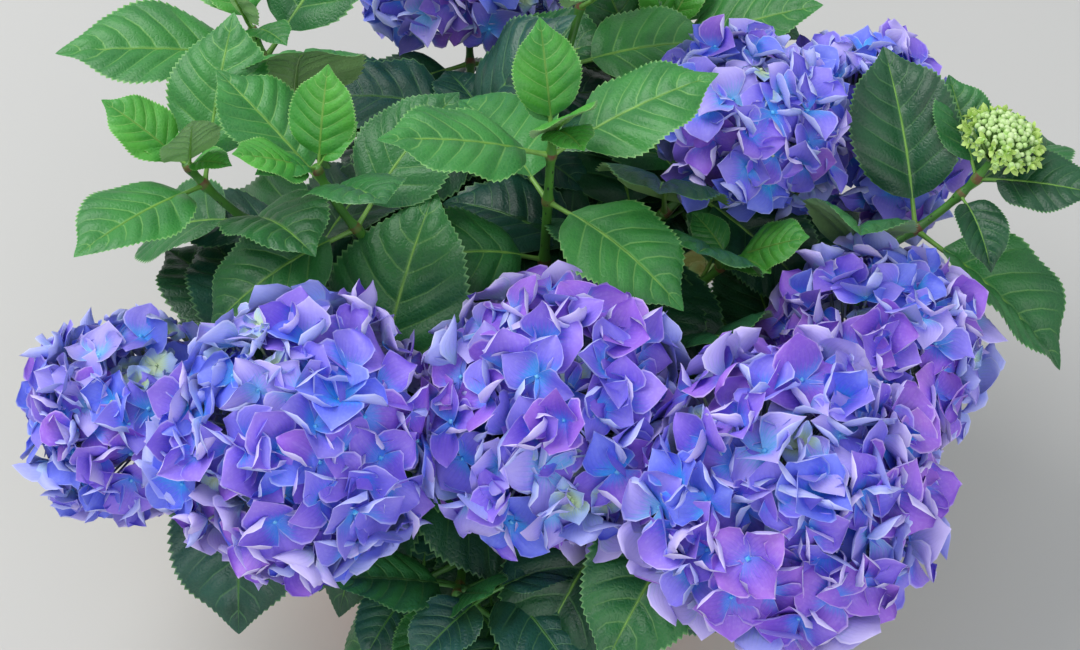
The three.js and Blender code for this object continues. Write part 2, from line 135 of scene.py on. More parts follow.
def cubic(handles: tuple | Array, t: Array) -> Array:
    """Points of a cubic curve: its four handles weighted by (1-t)³, 3t(1-t)², 3t²(1-t) and t³."""
    a, b, c, d = handles
    return (1 - t) ** 3 * a + 3 * t * (1 - t) ** 2 * b + 3 * t * t * (1 - t) * c + t**3 * d


def square_to(ways: Array) -> tuple[Array, Array]:
    """Two directions square to each way and to each other."""
    aside = np.where(np.abs(ways[..., 2:]) < 0.8, UP, np.array([1.0, 0.0, 0.0]))
    first = unit(np.cross(ways, aside))
    return first, np.cross(ways, first)


def round_bead(rows: int, columns: int) -> Array:
    """A ball of radius one.

    Args:
        rows: Rows from its lowest to its highest point.
        columns: Points round it.

    Returns:
        Points of (rows, columns, 3): (sin p cos a, sin p sin a, cos p).
    """
    polar, angle = np.linspace(math.pi, 0, rows)[:, None], around(columns)
    x, y = np.sin(polar) * np.cos(angle), np.sin(polar) * np.sin(angle)
    return np.stack([x, y, np.cos(polar) + 0 * angle], -1)


def end_to_end(parts: list) -> object:
    """Joins dataclasses of one kind whose fields are arrays, each field end to end."""
    kind = type(parts[0])
    return kind(*(np.concatenate([getattr(part, entry.name) for part in parts]) for entry in fields(kind)))


# Meshes


@dataclass
class Surface:
    """The points and faces of a piece in the making.

    uv is where each face corner lies on its own sheet, both ways from 0 to 1. sheet numbers the sheets, so
    that each can have a place of its own on the piece's map. rim marks the points of thin edges.
    """

    points: Array
    corners: Array
    sizes: Array
    slots: Array
    uv: Array
    sheet: Array
    rim: Array

    @staticmethod
    def joined(parts: list["Surface"]) -> "Surface":
        """All the parts as one surface, with their points and sheets numbered on."""
        points, sheets, moved = 0, 0, []
        for part in parts:
            moved.append(replace(part, corners=part.corners + points, sheet=part.sheet + sheets))
            points += len(part.points)
            sheets += int(part.sheet.max()) + 1
        return end_to_end(moved)


@dataclass
class Layout:
    """How a grid of places becomes a closed surface, for any number of copies.

    pick says which place of the grid each point takes. corners, sizes, uv and side describe the faces of
    one copy, and rim marks its points on thin edges.
    """

    pick: Array
    corners: Array
    sizes: Array
    uv: Array
    side: Array
    rim: Array

    @staticmethod
    def _faces(index: Array, uv: Array, upwards: bool) -> tuple[Array, ...]:
        """The faces between neighbouring rows and columns of a grid. A corner that falls on the next one is
        dropped, so that a row drawn together into one point is closed by triangles.

        Args:
            index: The point at each row and column.
            uv: Where each row and column lies on the sheet.
            upwards: Whether rows crossed with columns point out of the surface.

        Returns:
            Face corners, corners for each face, and the corners' places on the sheet.
        """
        turn = [(0, 0), (1, 0), (1, 1), (0, 1)] if upwards else [(0, 0), (0, 1), (1, 1), (1, 0)]
        rows, columns = index.shape[0] - 1, index.shape[1] - 1
        quads = np.stack([index[r : r + rows, c : c + columns] for r, c in turn], -1).reshape(-1, 4)
        places = np.stack([uv[r : r + rows, c : c + columns] for r, c in turn], -2).reshape(-1, 4, 2)
        kept = quads != np.roll(quads, -1, axis=1)
        return quads[kept], kept.sum(1), places[kept]

    @staticmethod
    def blade(along: Array, across: Array) -> "Layout":
        """A thin blade with an upper and a lower side that share its rim, drawn together at its point.

        Args:
            along: Places of the rows from 0 at the foot to 1 at the point.
            across: Places of the columns from -1 to 1.

        Returns:
            A layout for places given as an array of (copies, 2 sides, rows, columns, 3).
        """
        rows, columns = len(along), len(across)
        upper = np.arange(rows * columns).reshape(rows, columns)
        upper[-1] = upper[-1, 0]
        lower = upper.copy()
        lower[1:-1, 1:-1] += rows * columns
        pick, both = np.unique(np.stack([upper, lower]), return_inverse=True)
        upper, lower = both.reshape(2, rows, columns)
        uv = np.stack(np.meshgrid((across + 1) / 2, along), -1)
        both = [Layout._faces(upper, uv, True), Layout._faces(lower, uv, False)]
        corners, sizes, places = (np.concatenate(pair) for pair in zip(*both))
        side = np.repeat([0, 1], [len(part[1]) for part in both])
        rim = np.isin(np.arange(len(pick)), np.intersect1d(upper, lower))
        return Layout(pick, corners, sizes, places, side, rim)

    @staticmethod
    def tube(rows: int, columns: int) -> "Layout":
        """A tube whose first and last rows are drawn together into one point each.

        Args:
            rows: Rows from end to end, with both closing rows.
            columns: Points round the tube, anticlockwise as seen from its last row.

        Returns:
            A layout for places given as an array of (copies, rows, columns, 3).
        """
        index = np.arange(rows * columns).reshape(rows, columns)
        index[0], index[-1] = index[0, 0], index[-1, 0]
        pick, index = np.unique(index, return_inverse=True)
        index = index.reshape(rows, columns)
        index = np.concatenate([index, index[:, :1]], 1)
        uv = np.stack(np.meshgrid(np.linspace(0, 1, columns + 1), np.linspace(0, 1, rows)), -1)
        corners, sizes, places = Layout._faces(index, uv, False)
        none = np.zeros(len(pick), bool)
        return Layout(pick, corners, sizes, places, np.zeros(len(sizes), int), none)

    def copies(self, places: Array, slots: Array) -> Surface:
        """The surface of all copies together.

        Args:
            places: One grid of points for each copy, as the layout's maker says.
            slots: The material of each copy, or of each side or face of each copy.

        Returns:
            One surface, with a sheet for each side of each copy.
        """
        count = len(places)
        points = places.reshape(count, -1, 3)[:, self.pick]
        sides = int(self.side.max()) + 1
        copy = np.arange(count)[:, None]
        face_side = self.side[None, :] + copy * sides
        if slots.ndim == 1:
            slots = np.repeat(slots[:, None], sides, axis=1)
        if slots.shape[1] == sides:
            slots = slots[:, self.side]
        return Surface(
            points.reshape(-1, 3),
            (self.corners[None, :] + copy * len(self.pick)).ravel(),
            np.tile(self.sizes, count),
            slots.ravel(),
            np.tile(self.uv, (count, 1)),
            np.repeat(face_side.ravel(), np.tile(self.sizes, count)),
            np.tile(self.rim, count),
        )


def make_piece(name: str, surface: Surface, finishes: tuple["Finish", ...]) -> bpy.types.Object:
    """Puts a surface into the scene as one piece with two maps.

    The shape map holds each sheet's own 0 to 1 both ways, which the patterns follow. The other map gives
    each sheet a square of its own, in rows on one page.

    Args:
        name: The piece's name.
        surface: Its points and faces, in millimetres.
        finishes: Its materials, in the order that the surface's slots count them.

    Returns:
        The new object, at the origin.
    """
    mesh = bpy.data.meshes.new(name)
    mesh.vertices.add(len(surface.points))
    mesh.vertices.foreach_set("co", (surface.points * MM).astype(np.float32).ravel())
    mesh.loops.add(len(surface.corners))
    mesh.loops.foreach_set("vertex_index", surface.corners.astype(np.int32))
    mesh.polygons.add(len(surface.sizes))
    starts = np.cumsum(surface.sizes) - surface.sizes
    mesh.polygons.foreach_set("loop_start", starts.astype(np.int32))
    mesh.update(calc_edges=True)
    mesh.polygons.foreach_set("material_index", surface.slots.astype(np.int32))
    mesh.shade_smooth()
    ends = np.zeros(len(mesh.edges) * 2, np.int32)
    mesh.edges.foreach_get("vertices", ends)
    sharp = surface.rim[ends.reshape(-1, 2)].all(axis=1)
    mesh.attributes.new("sharp_edge", "BOOLEAN", "EDGE").data.foreach_set("value", sharp)
    side = math.ceil(math.sqrt(surface.sheet.max() + 1))
    square = np.stack([surface.sheet % side, surface.sheet // side], -1)
    page = (square + SHEET_MARGIN + surface.uv * (1 - 2 * SHEET_MARGIN)) / side
    for title, values in ((BAKE_MAP, page), (SHAPE_MAP, surface.uv)):
        mesh.uv_layers.new(name=title).data.foreach_set("uv", values.astype(np.float32).ravel())
    for finish in finishes:
        mesh.materials.append(finish.material())
    piece = bpy.data.objects.new(name, mesh)
    bpy.context.scene.collection.objects.link(piece)
    return piece


def settle(piece: bpy.types.Object, nodes: list[str]) -> None:
    """Fixes a piece to the plant and the nodes that it stands for, and logs it."""
    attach(piece, BODY)
    if nodes:
        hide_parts(*nodes)
    log.info("%s: %d faces, for %d nodes", piece.name, len(piece.data.polygons), len(nodes))


# Shading


class Desk:
    """Adds nodes to one shader tree and joins them up."""

    def __init__(self, tree: bpy.types.NodeTree) -> None:
        """Starts work on a tree."""
        self.tree = tree

    def node(self, kind: str, values: dict | None = None, **settings: object) -> bpy.types.Node:
        """Adds a node.

        Args:
            kind: Blender's name for the node's type.
            values: Sockets by name or number, each with a value or with another node's output.
            settings: The node's own properties.

        Returns:
            The node.
        """
        made = self.tree.nodes.new(kind)
        for key, value in settings.items():
            setattr(made, key, value)
        for key, value in (values or {}).items():
            self.feed(made.inputs[key], value)
        return made

    def socket(self, title: str, way: str, kind: str) -> None:
        """Gives a node group an input or output: way is INPUT or OUTPUT, kind Vector, Color or Float."""
        self.tree.interface.new_socket(title, in_out=way, socket_type="NodeSocket" + kind)

    def effect(self, effect: "Effect", values: dict) -> dict:
        """The outputs of an effect's node group, with these values on its inputs."""
        return self.node("ShaderNodeGroup", values, node_tree=effect.group()).outputs

    def feed(self, socket: bpy.types.NodeSocket, value: object) -> None:
        """Links another node's output into a socket, or sets the socket's value."""
        if isinstance(value, bpy.types.NodeSocket):
            self.tree.links.new(value, socket)
        elif isinstance(value, tuple) and socket.type == "RGBA":
            socket.default_value = (*value[:3], 1.0)
        else:
            socket.default_value = value

    def math(self, operation: str, *values: object) -> bpy.types.NodeSocket:
        """The output of a Math node on these values."""
        return self.node("ShaderNodeMath", dict(enumerate(values)), operation=operation).outputs[0]

    def times(self, first: object, second: object) -> bpy.types.NodeSocket:
        """The product of two values."""
        return self.math("MULTIPLY", first, second)

    def ramp(self, value: object, low: float, high: float) -> bpy.types.NodeSocket:
        """Rises smoothly from 0 where value is low to 1 where it is high. low may be the greater."""
        values = {"Value": value, "From Min": low, "From Max": high}
        return self.node("ShaderNodeMapRange", values, interpolation_type="SMOOTHSTEP").outputs[0]

    def mix(self, share: object, first: object, second: object, blend: str = "MIX") -> bpy.types.NodeSocket:
        """The colour first with a share of the colour second."""
        values = {0: share, 6: first, 7: second}
        return self.node("ShaderNodeMix", values, data_type="RGBA", blend_type=blend).outputs[2]

    def on_sheet(self, shape: object) -> tuple[object, bpy.types.NodeSocket]:
        """Places across and along a sheet, and the distance from its middle line: 1 at its edges."""
        place = self.node("ShaderNodeSeparateXYZ", {0: shape}).outputs
        return place, self.math("ABSOLUTE", self.math("MULTIPLY_ADD", place[0], 2.0, -1.0))

    def noise(self, vector: object, scale: float, detail: float = 3.0) -> bpy.types.NodeSocket:
        """Soft noise from 0 to 1 at a scale in waves per unit of the vector."""
        values = {"Vector": vector, "Scale": scale, "Detail": detail}
        return self.node("ShaderNodeTexNoise", values).outputs[0]


class Effect(Enum):
    """The effects that more than one material uses, each a shader node group that is built once: its name
    and the names of its vector, colour and number inputs."""

    PETAL = ("petal print", ("Shape", "Vector"), ("Face", "Outer", "Throat", "Rim"), ("Reach", "Rim share"))
    BLADE = ("leaf veins", ("Shape", "Vector"), ("Blade", "Shade", "Vein", "Edge"), ("Vein share",))
    MOTTLE = ("mottle", ("Vector",), ("First", "Second"), ("Scale",))
    SPECKS = ("specks", ("Vector",), (), ("Scale", "Size"))

    def group(self) -> bpy.types.ShaderNodeTree:
        """The effect's node group, built when it is first asked for."""
        name, *inputs = self.value
        found = bpy.data.node_groups.get(name)
        if found:
            return found
        desk = Desk(bpy.data.node_groups.new(name, "ShaderNodeTree"))
        for kind, titles in zip(("Vector", "Color", "Float"), inputs):
            for title in titles:
                desk.socket(title, "INPUT", kind)
        made = {
            Effect.PETAL: _petal_print,
            Effect.BLADE: _leaf_veins,
            Effect.MOTTLE: _mottle,
            Effect.SPECKS: _specks,
        }[self](desk, desk.node("NodeGroupInput").outputs)
        for title in made:
            desk.socket(title, "OUTPUT", "Color" if title == "Color" else "Float")
        desk.node("NodeGroupOutput", made)
        return desk.tree


def _mottle(desk: Desk, given: dict) -> dict:
    """Two colours that run into each other in soft spots, with a fine grain for the relief.

    Share = noise at Scale, stretched about its middle. Height = noise at ten times Scale.
    """
    share = desk.ramp(desk.noise(given["Vector"], given["Scale"]), 0.36, 0.64)
    colour = desk.mix(share, given["First"], given["Second"])
    finer = desk.times(given["Scale"], 10.0)
    return {"Color": colour, "Height": desk.noise(given["Vector"], finer, 4.0)}


def _specks(desk: Desk, given: dict) -> dict:
    """Small spots scattered over the surface: 1 within Size of the middle of a cell, 0 outside."""
    cells = desk.node("ShaderNodeTexVoronoi", {"Vector": given["Vector"], "Scale": given["Scale"]})
    inside = desk.math("SUBTRACT", given["Size"], cells.outputs["Distance"])
    chosen = desk.ramp(desk.noise(given["Vector"], given["Scale"], 0.0), 0.5, 0.56)
    return {"Mask": desk.times(desk.ramp(inside, 0.0, 0.08), chosen)}


def _petal_print(desk: Desk, given: dict) -> dict:
    """A sepal's colouring: a throat tint at its foot, another hue towards its edges, fine veins that fan
    out with its breadth, and a pale rim, partly the sepal's own paler edge and partly a painted highlight
    where light catches the thin edge.

    Throat share = 1 at the foot to 0 at Reach of the length. The outer hue comes in over the length. Veins
    are a sine across the breadth. Rim share, of paler edge and painted highlight together, grows over the
    last of the breadth and of the length.
    """
    place, off_middle = desk.on_sheet(given["Shape"])
    cloud = desk.noise(given["Vector"], 55.0, 2.0)
    along = desk.math("MULTIPLY_ADD", desk.math("SUBTRACT", cloud, 0.5), 0.5, place[1])
    veins = desk.math("SINE", desk.times(place[0], 75.0))
    rays = desk.math("MULTIPLY_ADD", veins, -0.12, desk.math("DIVIDE", along, given["Reach"]))
    throat = desk.ramp(rays, 1.0, 0.1)
    fine = desk.times(desk.ramp(veins, 0.3, 1.0), desk.ramp(place[1], 0.95, 0.2))
    # Rim mask: partly the sepal's own paler edge, partly a painted highlight on the thin edge
    rim = desk.math("MAXIMUM", desk.ramp(off_middle, 0.88, 1.0), desk.ramp(place[1], 0.93, 1.0))
    ground = desk.mix(desk.ramp(along, 0.25, 0.85), given["Face"], given["Outer"])
    tinted = desk.mix(throat, ground, given["Throat"])
    grain = desk.ramp(desk.noise(given["Vector"], 420.0, 1.0), 0.45, 0.75)
    misted = desk.mix(desk.times(grain, 0.1), tinted, given["Rim"])
    veined = desk.mix(desk.times(fine, 0.12), misted, (0.05, 0.03, 0.3), "MULTIPLY")
    # Mixes in the rim colour: part own paler edge, part painted highlight
    edged_and_highlit = desk.mix(desk.times(rim, given["Rim share"]), veined, given["Rim"])
    return {"Color": edged_and_highlit, "Height": desk.math("MULTIPLY_ADD", fine, -0.5, cloud)}


def _leaf_veins(desk: Desk, given: dict) -> dict:
    """A leaf's colouring: midrib, side veins, a net of fine veins between them, a pale edge, and soft spots.

    The side veins' mask peaks where the map's length times their count is a whole number. The net is the
    walls of cells three millimetres wide, and the relief swells between them.
    """
    place, off_middle = desk.on_sheet(given["Shape"])
    off_vein = desk.math("PINGPONG", desk.times(place[1], float(VEINS.count)), 0.5)
    side_vein = desk.times(desk.ramp(off_vein, 0.06, 0.02), desk.ramp(off_middle, 1.0, 0.4))
    midrib = desk.ramp(off_middle, 0.055, 0.02)
    cells = {"Vector": given["Vector"], "Scale": 330.0}
    off_wall = desk.node("ShaderNodeTexVoronoi", cells, feature="DISTANCE_TO_EDGE").outputs["Distance"]
    fine = desk.times(desk.ramp(off_wall, 0.1, 0.0), 0.16)
    veins = desk.math("MAXIMUM", desk.math("MAXIMUM", side_vein, midrib), fine)
    spots = desk.ramp(desk.noise(given["Vector"], 28.0), 0.35, 0.65)
    ground = desk.mix(spots, given["Blade"], given["Shade"])
    veined = desk.mix(desk.times(veins, given["Vein share"]), ground, given["Vein"])
    edge = desk.times(desk.ramp(off_middle, 0.955, 1.0), 0.75)
    pillow = desk.times(desk.ramp(off_wall, 0.0, 0.3), 0.5)
    sunk = desk.times(desk.math("MAXIMUM", side_vein, midrib), -0.7)
    return {"Color": desk.mix(edge, veined, given["Edge"]), "Height": desk.math("ADD", pillow, sunk)}


@dataclass(frozen=True)
class VeinRule:
    """How a leaf's side veins run. The rows of a blade's mesh follow them, so that every count-th part of
    its map is a vein."""

    count: int = 7
    ahead: float = 0.42
    curve: float = 1.2

    def lead(self, start: Array) -> Array:
        """How far past its start m on the midrib a row meets the margin: ahead (1 - (1 - m)⁶) (1 - m)^0.8."""
        return self.ahead * (1 - (1 - start) ** 6) * (1 - start) ** 0.8

    def starts(self, even: Array) -> Array:
        """Starts on the midrib whose rows are evenly spread half way to the margin."""
        fine = np.linspace(0, 1, 400)
        return np.interp(even, fine + self.lead(fine) / 2, fine)


VEINS = VeinRule()


@dataclass(frozen=True)
class Finish:
    """A material of one principled shader. Its roughness is the same all over and sits on the shader's own
    socket. The bump is a strength from 0 to 1 and a depth in millimetres."""

    effect: ClassVar[Effect]
    name: str
    roughness: float = 0.5
    bump: float = 0.2
    bump_depth: float = 0.4

    def picture(self, desk: Desk, places: dict) -> tuple[object, object]:
        """The colour and height of this kind's effect, whose inputs are named for the kind's own fields."""
        values = dict(places)
        for entry in fields(self)[len(fields(Finish)) :]:
            value = getattr(self, entry.name)
            title = entry.name.replace("_", " ").capitalize()
            values[title] = linear(value) if isinstance(value, str) else value
        made = desk.effect(self.effect, values)
        return made["Color"], made["Height"]

    def material(self) -> bpy.types.Material:
        """Builds the material, or gives the one that was built before under this name."""
        found = bpy.data.materials.get(self.name)
        if found:
            return found
        made = bpy.data.materials.new(self.name)
        made.use_nodes = True
        desk = Desk(made.node_tree)
        made.node_tree.nodes.clear()
        places = {
            "Shape": desk.node("ShaderNodeUVMap", uv_map=SHAPE_MAP).outputs[0],
            "Vector": desk.node("ShaderNodeTexCoord").outputs["Object"],
        }
        colour, height = self.picture(desk, places)
        relief = {"Height": height, "Strength": self.bump, "Distance": self.bump_depth * MM}
        normal = desk.node("ShaderNodeBump", relief).outputs[0]
        look = {"Base Color": colour, "Roughness": self.roughness, "Normal": normal}
        shader = desk.node("ShaderNodeBsdfPrincipled", look)
        desk.node("ShaderNodeOutputMaterial", {"Surface": shader.outputs[0]})
        return made


@dataclass(frozen=True, kw_only=True)
class Petal(Finish):
    """A sepal's upper or lower side. Colours are as seen on a screen. Its rim colour is partly the edge's
    own paler tint and partly a painted highlight on the thin edge.
    """

    effect: ClassVar[Effect] = Effect.PETAL
    face: str
    outer: str
    throat: str
    # Partly the edge's own paler tint, partly a painted highlight on the thin edge
    rim: str
    reach: float = 0.5
    rim_share: float = 0.7


@dataclass(frozen=True, kw_only=True)
class LeafSide(Finish):
    """A leaf's upper or lower side. Colours are as seen on a screen."""

    effect: ClassVar[Effect] = Effect.BLADE
    blade: str
    shade: str
    vein: str
    edge: str
    vein_share: float = 0.6


@dataclass(frozen=True, kw_only=True)
class Mottled(Finish):
    """Two colours in soft spots over a grain, with specks of a third colour. Scales are per metre."""

    effect: ClassVar[Effect] = Effect.MOTTLE
    first: str
    second: str
    scale: float
    speck: str | None = None
    speck_scale: float = 300.0
    speck_size: float = 0.2
    stretch: float = 1.0

    def picture(self, desk: Desk, places: dict) -> tuple[object, object]:
        """Mottled colour with specks laid over it, and the grain's height. A stretch over one draws the
        pattern out along Z."""
        drawn_out = (1.0, 1.0, 1.0 / self.stretch)
        vector = desk.node("ShaderNodeMapping", {"Vector": places["Vector"], "Scale": drawn_out}).outputs[0]
        colours = {"First": linear(self.first), "Second": linear(self.second)}
        made = desk.effect(self.effect, {"Vector": vector, **colours, "Scale": self.scale})
        if not self.speck:
            return made["Color"], made["Height"]
        dots = {"Vector": vector, "Scale": self.speck_scale, "Size": self.speck_size}
        mask = desk.effect(Effect.SPECKS, dots)["Mask"]
        return desk.mix(mask, made["Color"], linear(self.speck)), made["Height"]


# How the shrub grows: the rule of the model's source


@dataclass(frozen=True)
class Limb:
    """Radii at the foot and at the tip of a kind of limb."""

    foot: float
    tip: float


CANE = Limb(10.0, 8.6)
STEM = Limb(3.9, 2.5)
CANE_LEAN = 0.5
COMPOST_TOP = 180.0
# How far the model's parts stand apart, and its shoots from the middle of their cane's top
GAP = 0.3
FORK_RING = 4.9
# Where the leafy stretch ends under a head, and where the stem ends inside it, in radii of the head
HEAD_UNDER = 0.84
BUD_UNDER = 1.1
STALK_SUNK = 0.45
LOWEST_LIFT = -25.0
PETIOLE_SHARE = 0.2
# What leaves are measured by: the usual blade's length, and the height under which they are old
USUAL_LEAF = 120.0
LOW_LEAVES = 245.0
# Pair numbers that aren't counted down a stem: of the last small leaves at a tip, and of a side twig's
YOUNG_PAIR = -1
TWIG_PAIR = 4


@dataclass(frozen=True)
class Pair:
    """One pair of leaves: how far down the leafy stretch, size, steepness and how far the blades bend."""

    down: float
    size: float
    steep: float
    droop: float


TIP_PAIRS = (Pair(0.03, 0.6, 58, 12), Pair(0.14, 0.92, 34, 18), Pair(0.4, 1, 22, 38), Pair(0.74, 1, 12, 50))
FLOWER_PAIRS = (Pair(0.05, 0.86, 12, 36), Pair(0.31, 1, 12, 44), Pair(0.58, 1, 12, 50), Pair(0.85, 1, 12, 52))
# The small leaf that hangs in front of the bud head: its size is a share of what it would have
BUD_LEAF = Pair(0.14, 0.52, 12, 60)
BUD_LEAF_PAIR = 1
BUD_LEAF_TURN = 34.0
# A leaf of the model is known by its point, which lies no further off than this
SAME_POINT = 0.1
# How far a leaf strays at most: turn, lift, droop and roll in degrees, and a share of its length
STRAY = np.array([9, 6, 8, 12, 0.07])
# Changes to turn and lift, and the size, that are tried where a leaf would stand in another's way
TRIES = (
    (0, 0, 1), (0, -16, 1), (16, -6, 1), (-16, -6, 1), (0, 16, 0.94), (26, -24, 0.94), (-26, -24, 0.94),
    (12, 8, 0.84), (-12, -34, 0.84), (34, -8, 0.78), (-34, -8, 0.78),
)

# Where each cane leaves the compost, and where it forks
CANES = {
    "front_left": ((-34, -24), (-50, -40, 224)),
    "front_low": ((-16, -42), (-20, -62, 212)),
    "front": ((14, -44), (20, -60, 222)),
    "right": ((46, -16), (66, -22, 224)),
    "middle_right": ((44, 10), (66, 14, 218)),
    "back_right": ((36, 34), (50, 52, 226)),
    "back": ((-14, 48), (-18, 70, 224)),
    "left": ((-50, 14), (-70, 22, 226)),
    "middle_left": ((-18, -2), (-28, -4, 240)),
    "middle": ((12, 4), (18, 8, 236)),
}


class Bloom(Enum):
    """What a shoot ends in."""

    NONE = "young leaves"
    HEAD = "flower head"
    BUD = "green bud head"


@dataclass
class Shoot:
    """A shoot from its cane to its tip, with all that follows from where it stands.

    tip is the middle of its head or its growing point, and radius the head's. It leaves the cane at the
    angle rise above level and ends at the angle face. bare is the share with no leaves, turn sets the
    topmost pair, and leaf is the longest blade's length.
    """

    name: str
    cane: str
    tip: tuple[float, float, float]
    bloom: Bloom
    radius: float
    rise: float
    face: float
    pairs: int
    bare: float
    turn: float
    leaf: float
    lean: Array = field(init=False)
    axis: Array = field(init=False)
    handles: Array = field(init=False)

    @property
    def length(self) -> float:
        """The straight length from foot to tip."""
        return float(np.linalg.norm(self.handles[3] - self.handles[0]))

    @property
    def under_head(self) -> float:
        """The parameter at which the leafy stretch ends."""
        share = {Bloom.NONE: 0.0, Bloom.HEAD: HEAD_UNDER, Bloom.BUD: BUD_UNDER}[self.bloom]
        return 1 - share * self.radius / self.length

    @property
    def leafy_from(self) -> float:
        """The parameter at which the leafy stretch begins."""
        return self.bare + GAP / self.length

    def joints(self) -> Array:
        """The parameters at which its pairs of leaves stand."""
        table = FLOWER_PAIRS if self.bloom is Bloom.HEAD else TIP_PAIRS
        down = np.array([pair.down for pair in table[: self.pairs]])
        return self.under_head - down * (self.under_head - self.leafy_from)

    def at(self, t: Array) -> Array:
        """Points of the shoot's curve."""
        return cubic(self.handles, np.asarray(t, float)[..., None])

    def towards(self, t: Array) -> Array:
        """Directions along the curve, from its points a ten-thousandth to either side."""
        step = 1e-4
        low, high = np.maximum(np.asarray(t) - step, 0), np.minimum(np.asarray(t) + step, 1)
        return unit(self.at(high) - self.at(low))


def _shoot_list() -> list[Shoot]:
    """All shoots in the order in which the model's source draws their leaves."""
    head, bud, none = Bloom.HEAD, Bloom.BUD, Bloom.NONE
    rows = (
        ("front_left", "front_left", (-248, -73, 258), head, 68, 40, 52, 4, 0.3, 40, 120),
        ("front_midleft", "front_left", (-125, -150, 330), head, 84, 45, 62, 4, 0.26, 10, 128),
        ("front_middle", "front", (29, -132, 332), head, 82, 45, 66, 4, 0.24, 30, 128),
        ("front_midright", "front", (164, -194, 332), head, 89, 22, 58, 4, 0.26, 5, 132),
        ("front_right", "right", (238, -46, 280), head, 75, 40, 54, 4, 0.3, 35, 120),
        ("back_right_inner", "middle", (157, 97, 350), head, 67, 50, 62, 4, 0.28, 20, 120),
        ("back_right_outer", "back_right", (250, 148, 288), head, 72, 35, 52, 4, 0.3, 50, 120),
        ("back", "back", (-34, 290, 308), head, 74, 45, 55, 4, 0.28, 15, 124),
        ("right_bud", "right", (322, 62, 368), bud, 27, 18, 72, 4, 0.4, 25, 112),
        ("left_leafy", "left", (-205, 24, 388), none, 0, 60, 68, 4, 0.24, 61, 98),
        ("midleft_leafy", "middle_left", (-118, -8, 418), none, 0, 65, 78, 4, 0.22, 133, 100),
        ("middle_leafy", "middle", (28, 0, 442), none, 0, 85, 86, 4, 0.2, 62, 106),
        ("back_left_leafy", "left", (-176, 168, 372), none, 0, 60, 62, 4, 0.24, 80, 124),
        ("back_leafy", "back", (52, 190, 398), none, 0, 60, 70, 4, 0.24, 35, 122),
        ("right_leafy", "middle_right", (146, 18, 304), none, 0, 40, 55, 3, 0.3, 30, 106),
        ("front_low_leafy", "front_low", (-32, -196, 226), none, 0, 20, 35, 3, 0.3, 45, 104),
        ("back_low_leafy", "back_right", (112, 236, 306), none, 0, 35, 56, 4, 0.3, 60, 116),
    )
    return [Shoot(*row) for row in rows]


def _level(start: Array, end: Array) -> Array:
    """The level direction from one point to another."""
    return unit((end - start) * (1, 1, 0))


def _tilted(level: Array, angle: float) -> Array:
    """A level direction raised by an angle."""
    return level * math.cos(math.radians(angle)) + UP * math.sin(math.radians(angle))


def grow() -> list[Shoot]:
    """Places every shoot on its cane.

    Returns:
        The shoots, each with its lean, its end direction and the four handles of its curve. A shoot stands
        on its cane's flat top, on the side turned away from the others there, and its two handles are a
        third of its straight length.
    """
    shoots = _shoot_list()
    for shoot in shoots:
        fork = np.array(CANES[shoot.cane][1], float)
        ahead = unit(_level(np.zeros(3), fork) * CANE_LEAN + UP)
        tip = np.array(shoot.tip, float)
        shoot.lean = _level(fork, tip)
        others = [s for s in shoots if s.cane == shoot.cane]
        side = sum((shoot.lean - _level(fork, np.array(s.tip, float)) for s in others), np.zeros(3))
        side = side - ahead * (side @ ahead)
        if np.linalg.norm(side) > 1e-9:
            side = unit(side)
        foot = fork + side * FORK_RING + ahead * GAP
        shoot.axis = _tilted(shoot.lean, shoot.face)
        reach = np.linalg.norm(tip - foot) / 3
        start = foot + _tilted(shoot.lean, shoot.rise) * reach
        shoot.handles = np.array([foot, start, tip - shoot.axis * reach, tip])
    return shoots


@dataclass
class Leaves:
    """Many leaves as arrays: where each stalk is rooted, its bearing, lift, droop and roll, and length."""

    root: Array
    bearing: Array
    lift: Array
    droop: Array
    roll: Array
    length: Array
    pair: Array

    def place(self, s: Array, side: Array, depth: Array) -> Array:
        """Points on the leaves. A leaf lies in an upright plane at its bearing. Past its stalk the midrib
        turns down by droop along the arc out = length (sin lift - sin angle)/bend and
        rise = length (cos angle - cos lift)/bend, with angle = lift - bend · s.

        Args:
            s: Share of the blade's length, for each leaf and point: (leaves, points).
            side: Way across the blade, in millimetres.
            depth: Way out of the blade's upper side, in millimetres.

        Returns:
            An array of (leaves, points, 3).
        """
        lift, bend = np.radians(self.lift)[:, None], np.radians(self.droop)[:, None]
        roll = np.radians(self.roll)[:, None, None]
        length = self.length[:, None]
        angle = lift - bend * s
        out = length * (np.sin(lift) - np.sin(angle)) / bend + length * PETIOLE_SHARE * np.cos(lift)
        rise = length * (np.cos(angle) - np.cos(lift)) / bend + length * PETIOLE_SHARE * np.sin(lift)
        level = level_way(self.bearing[:, None])
        across = np.cross(UP, level)
        normal = UP * np.cos(angle)[..., None] - level * np.sin(angle)[..., None]
        sideways = across * np.cos(roll) + normal * np.sin(roll)
        upright = normal * np.cos(roll) - across * np.sin(roll)
        middle = self.root[:, None, :] + level * out[..., None] + UP * rise[..., None]
        return middle + sideways * side[..., None] + upright * depth[..., None]


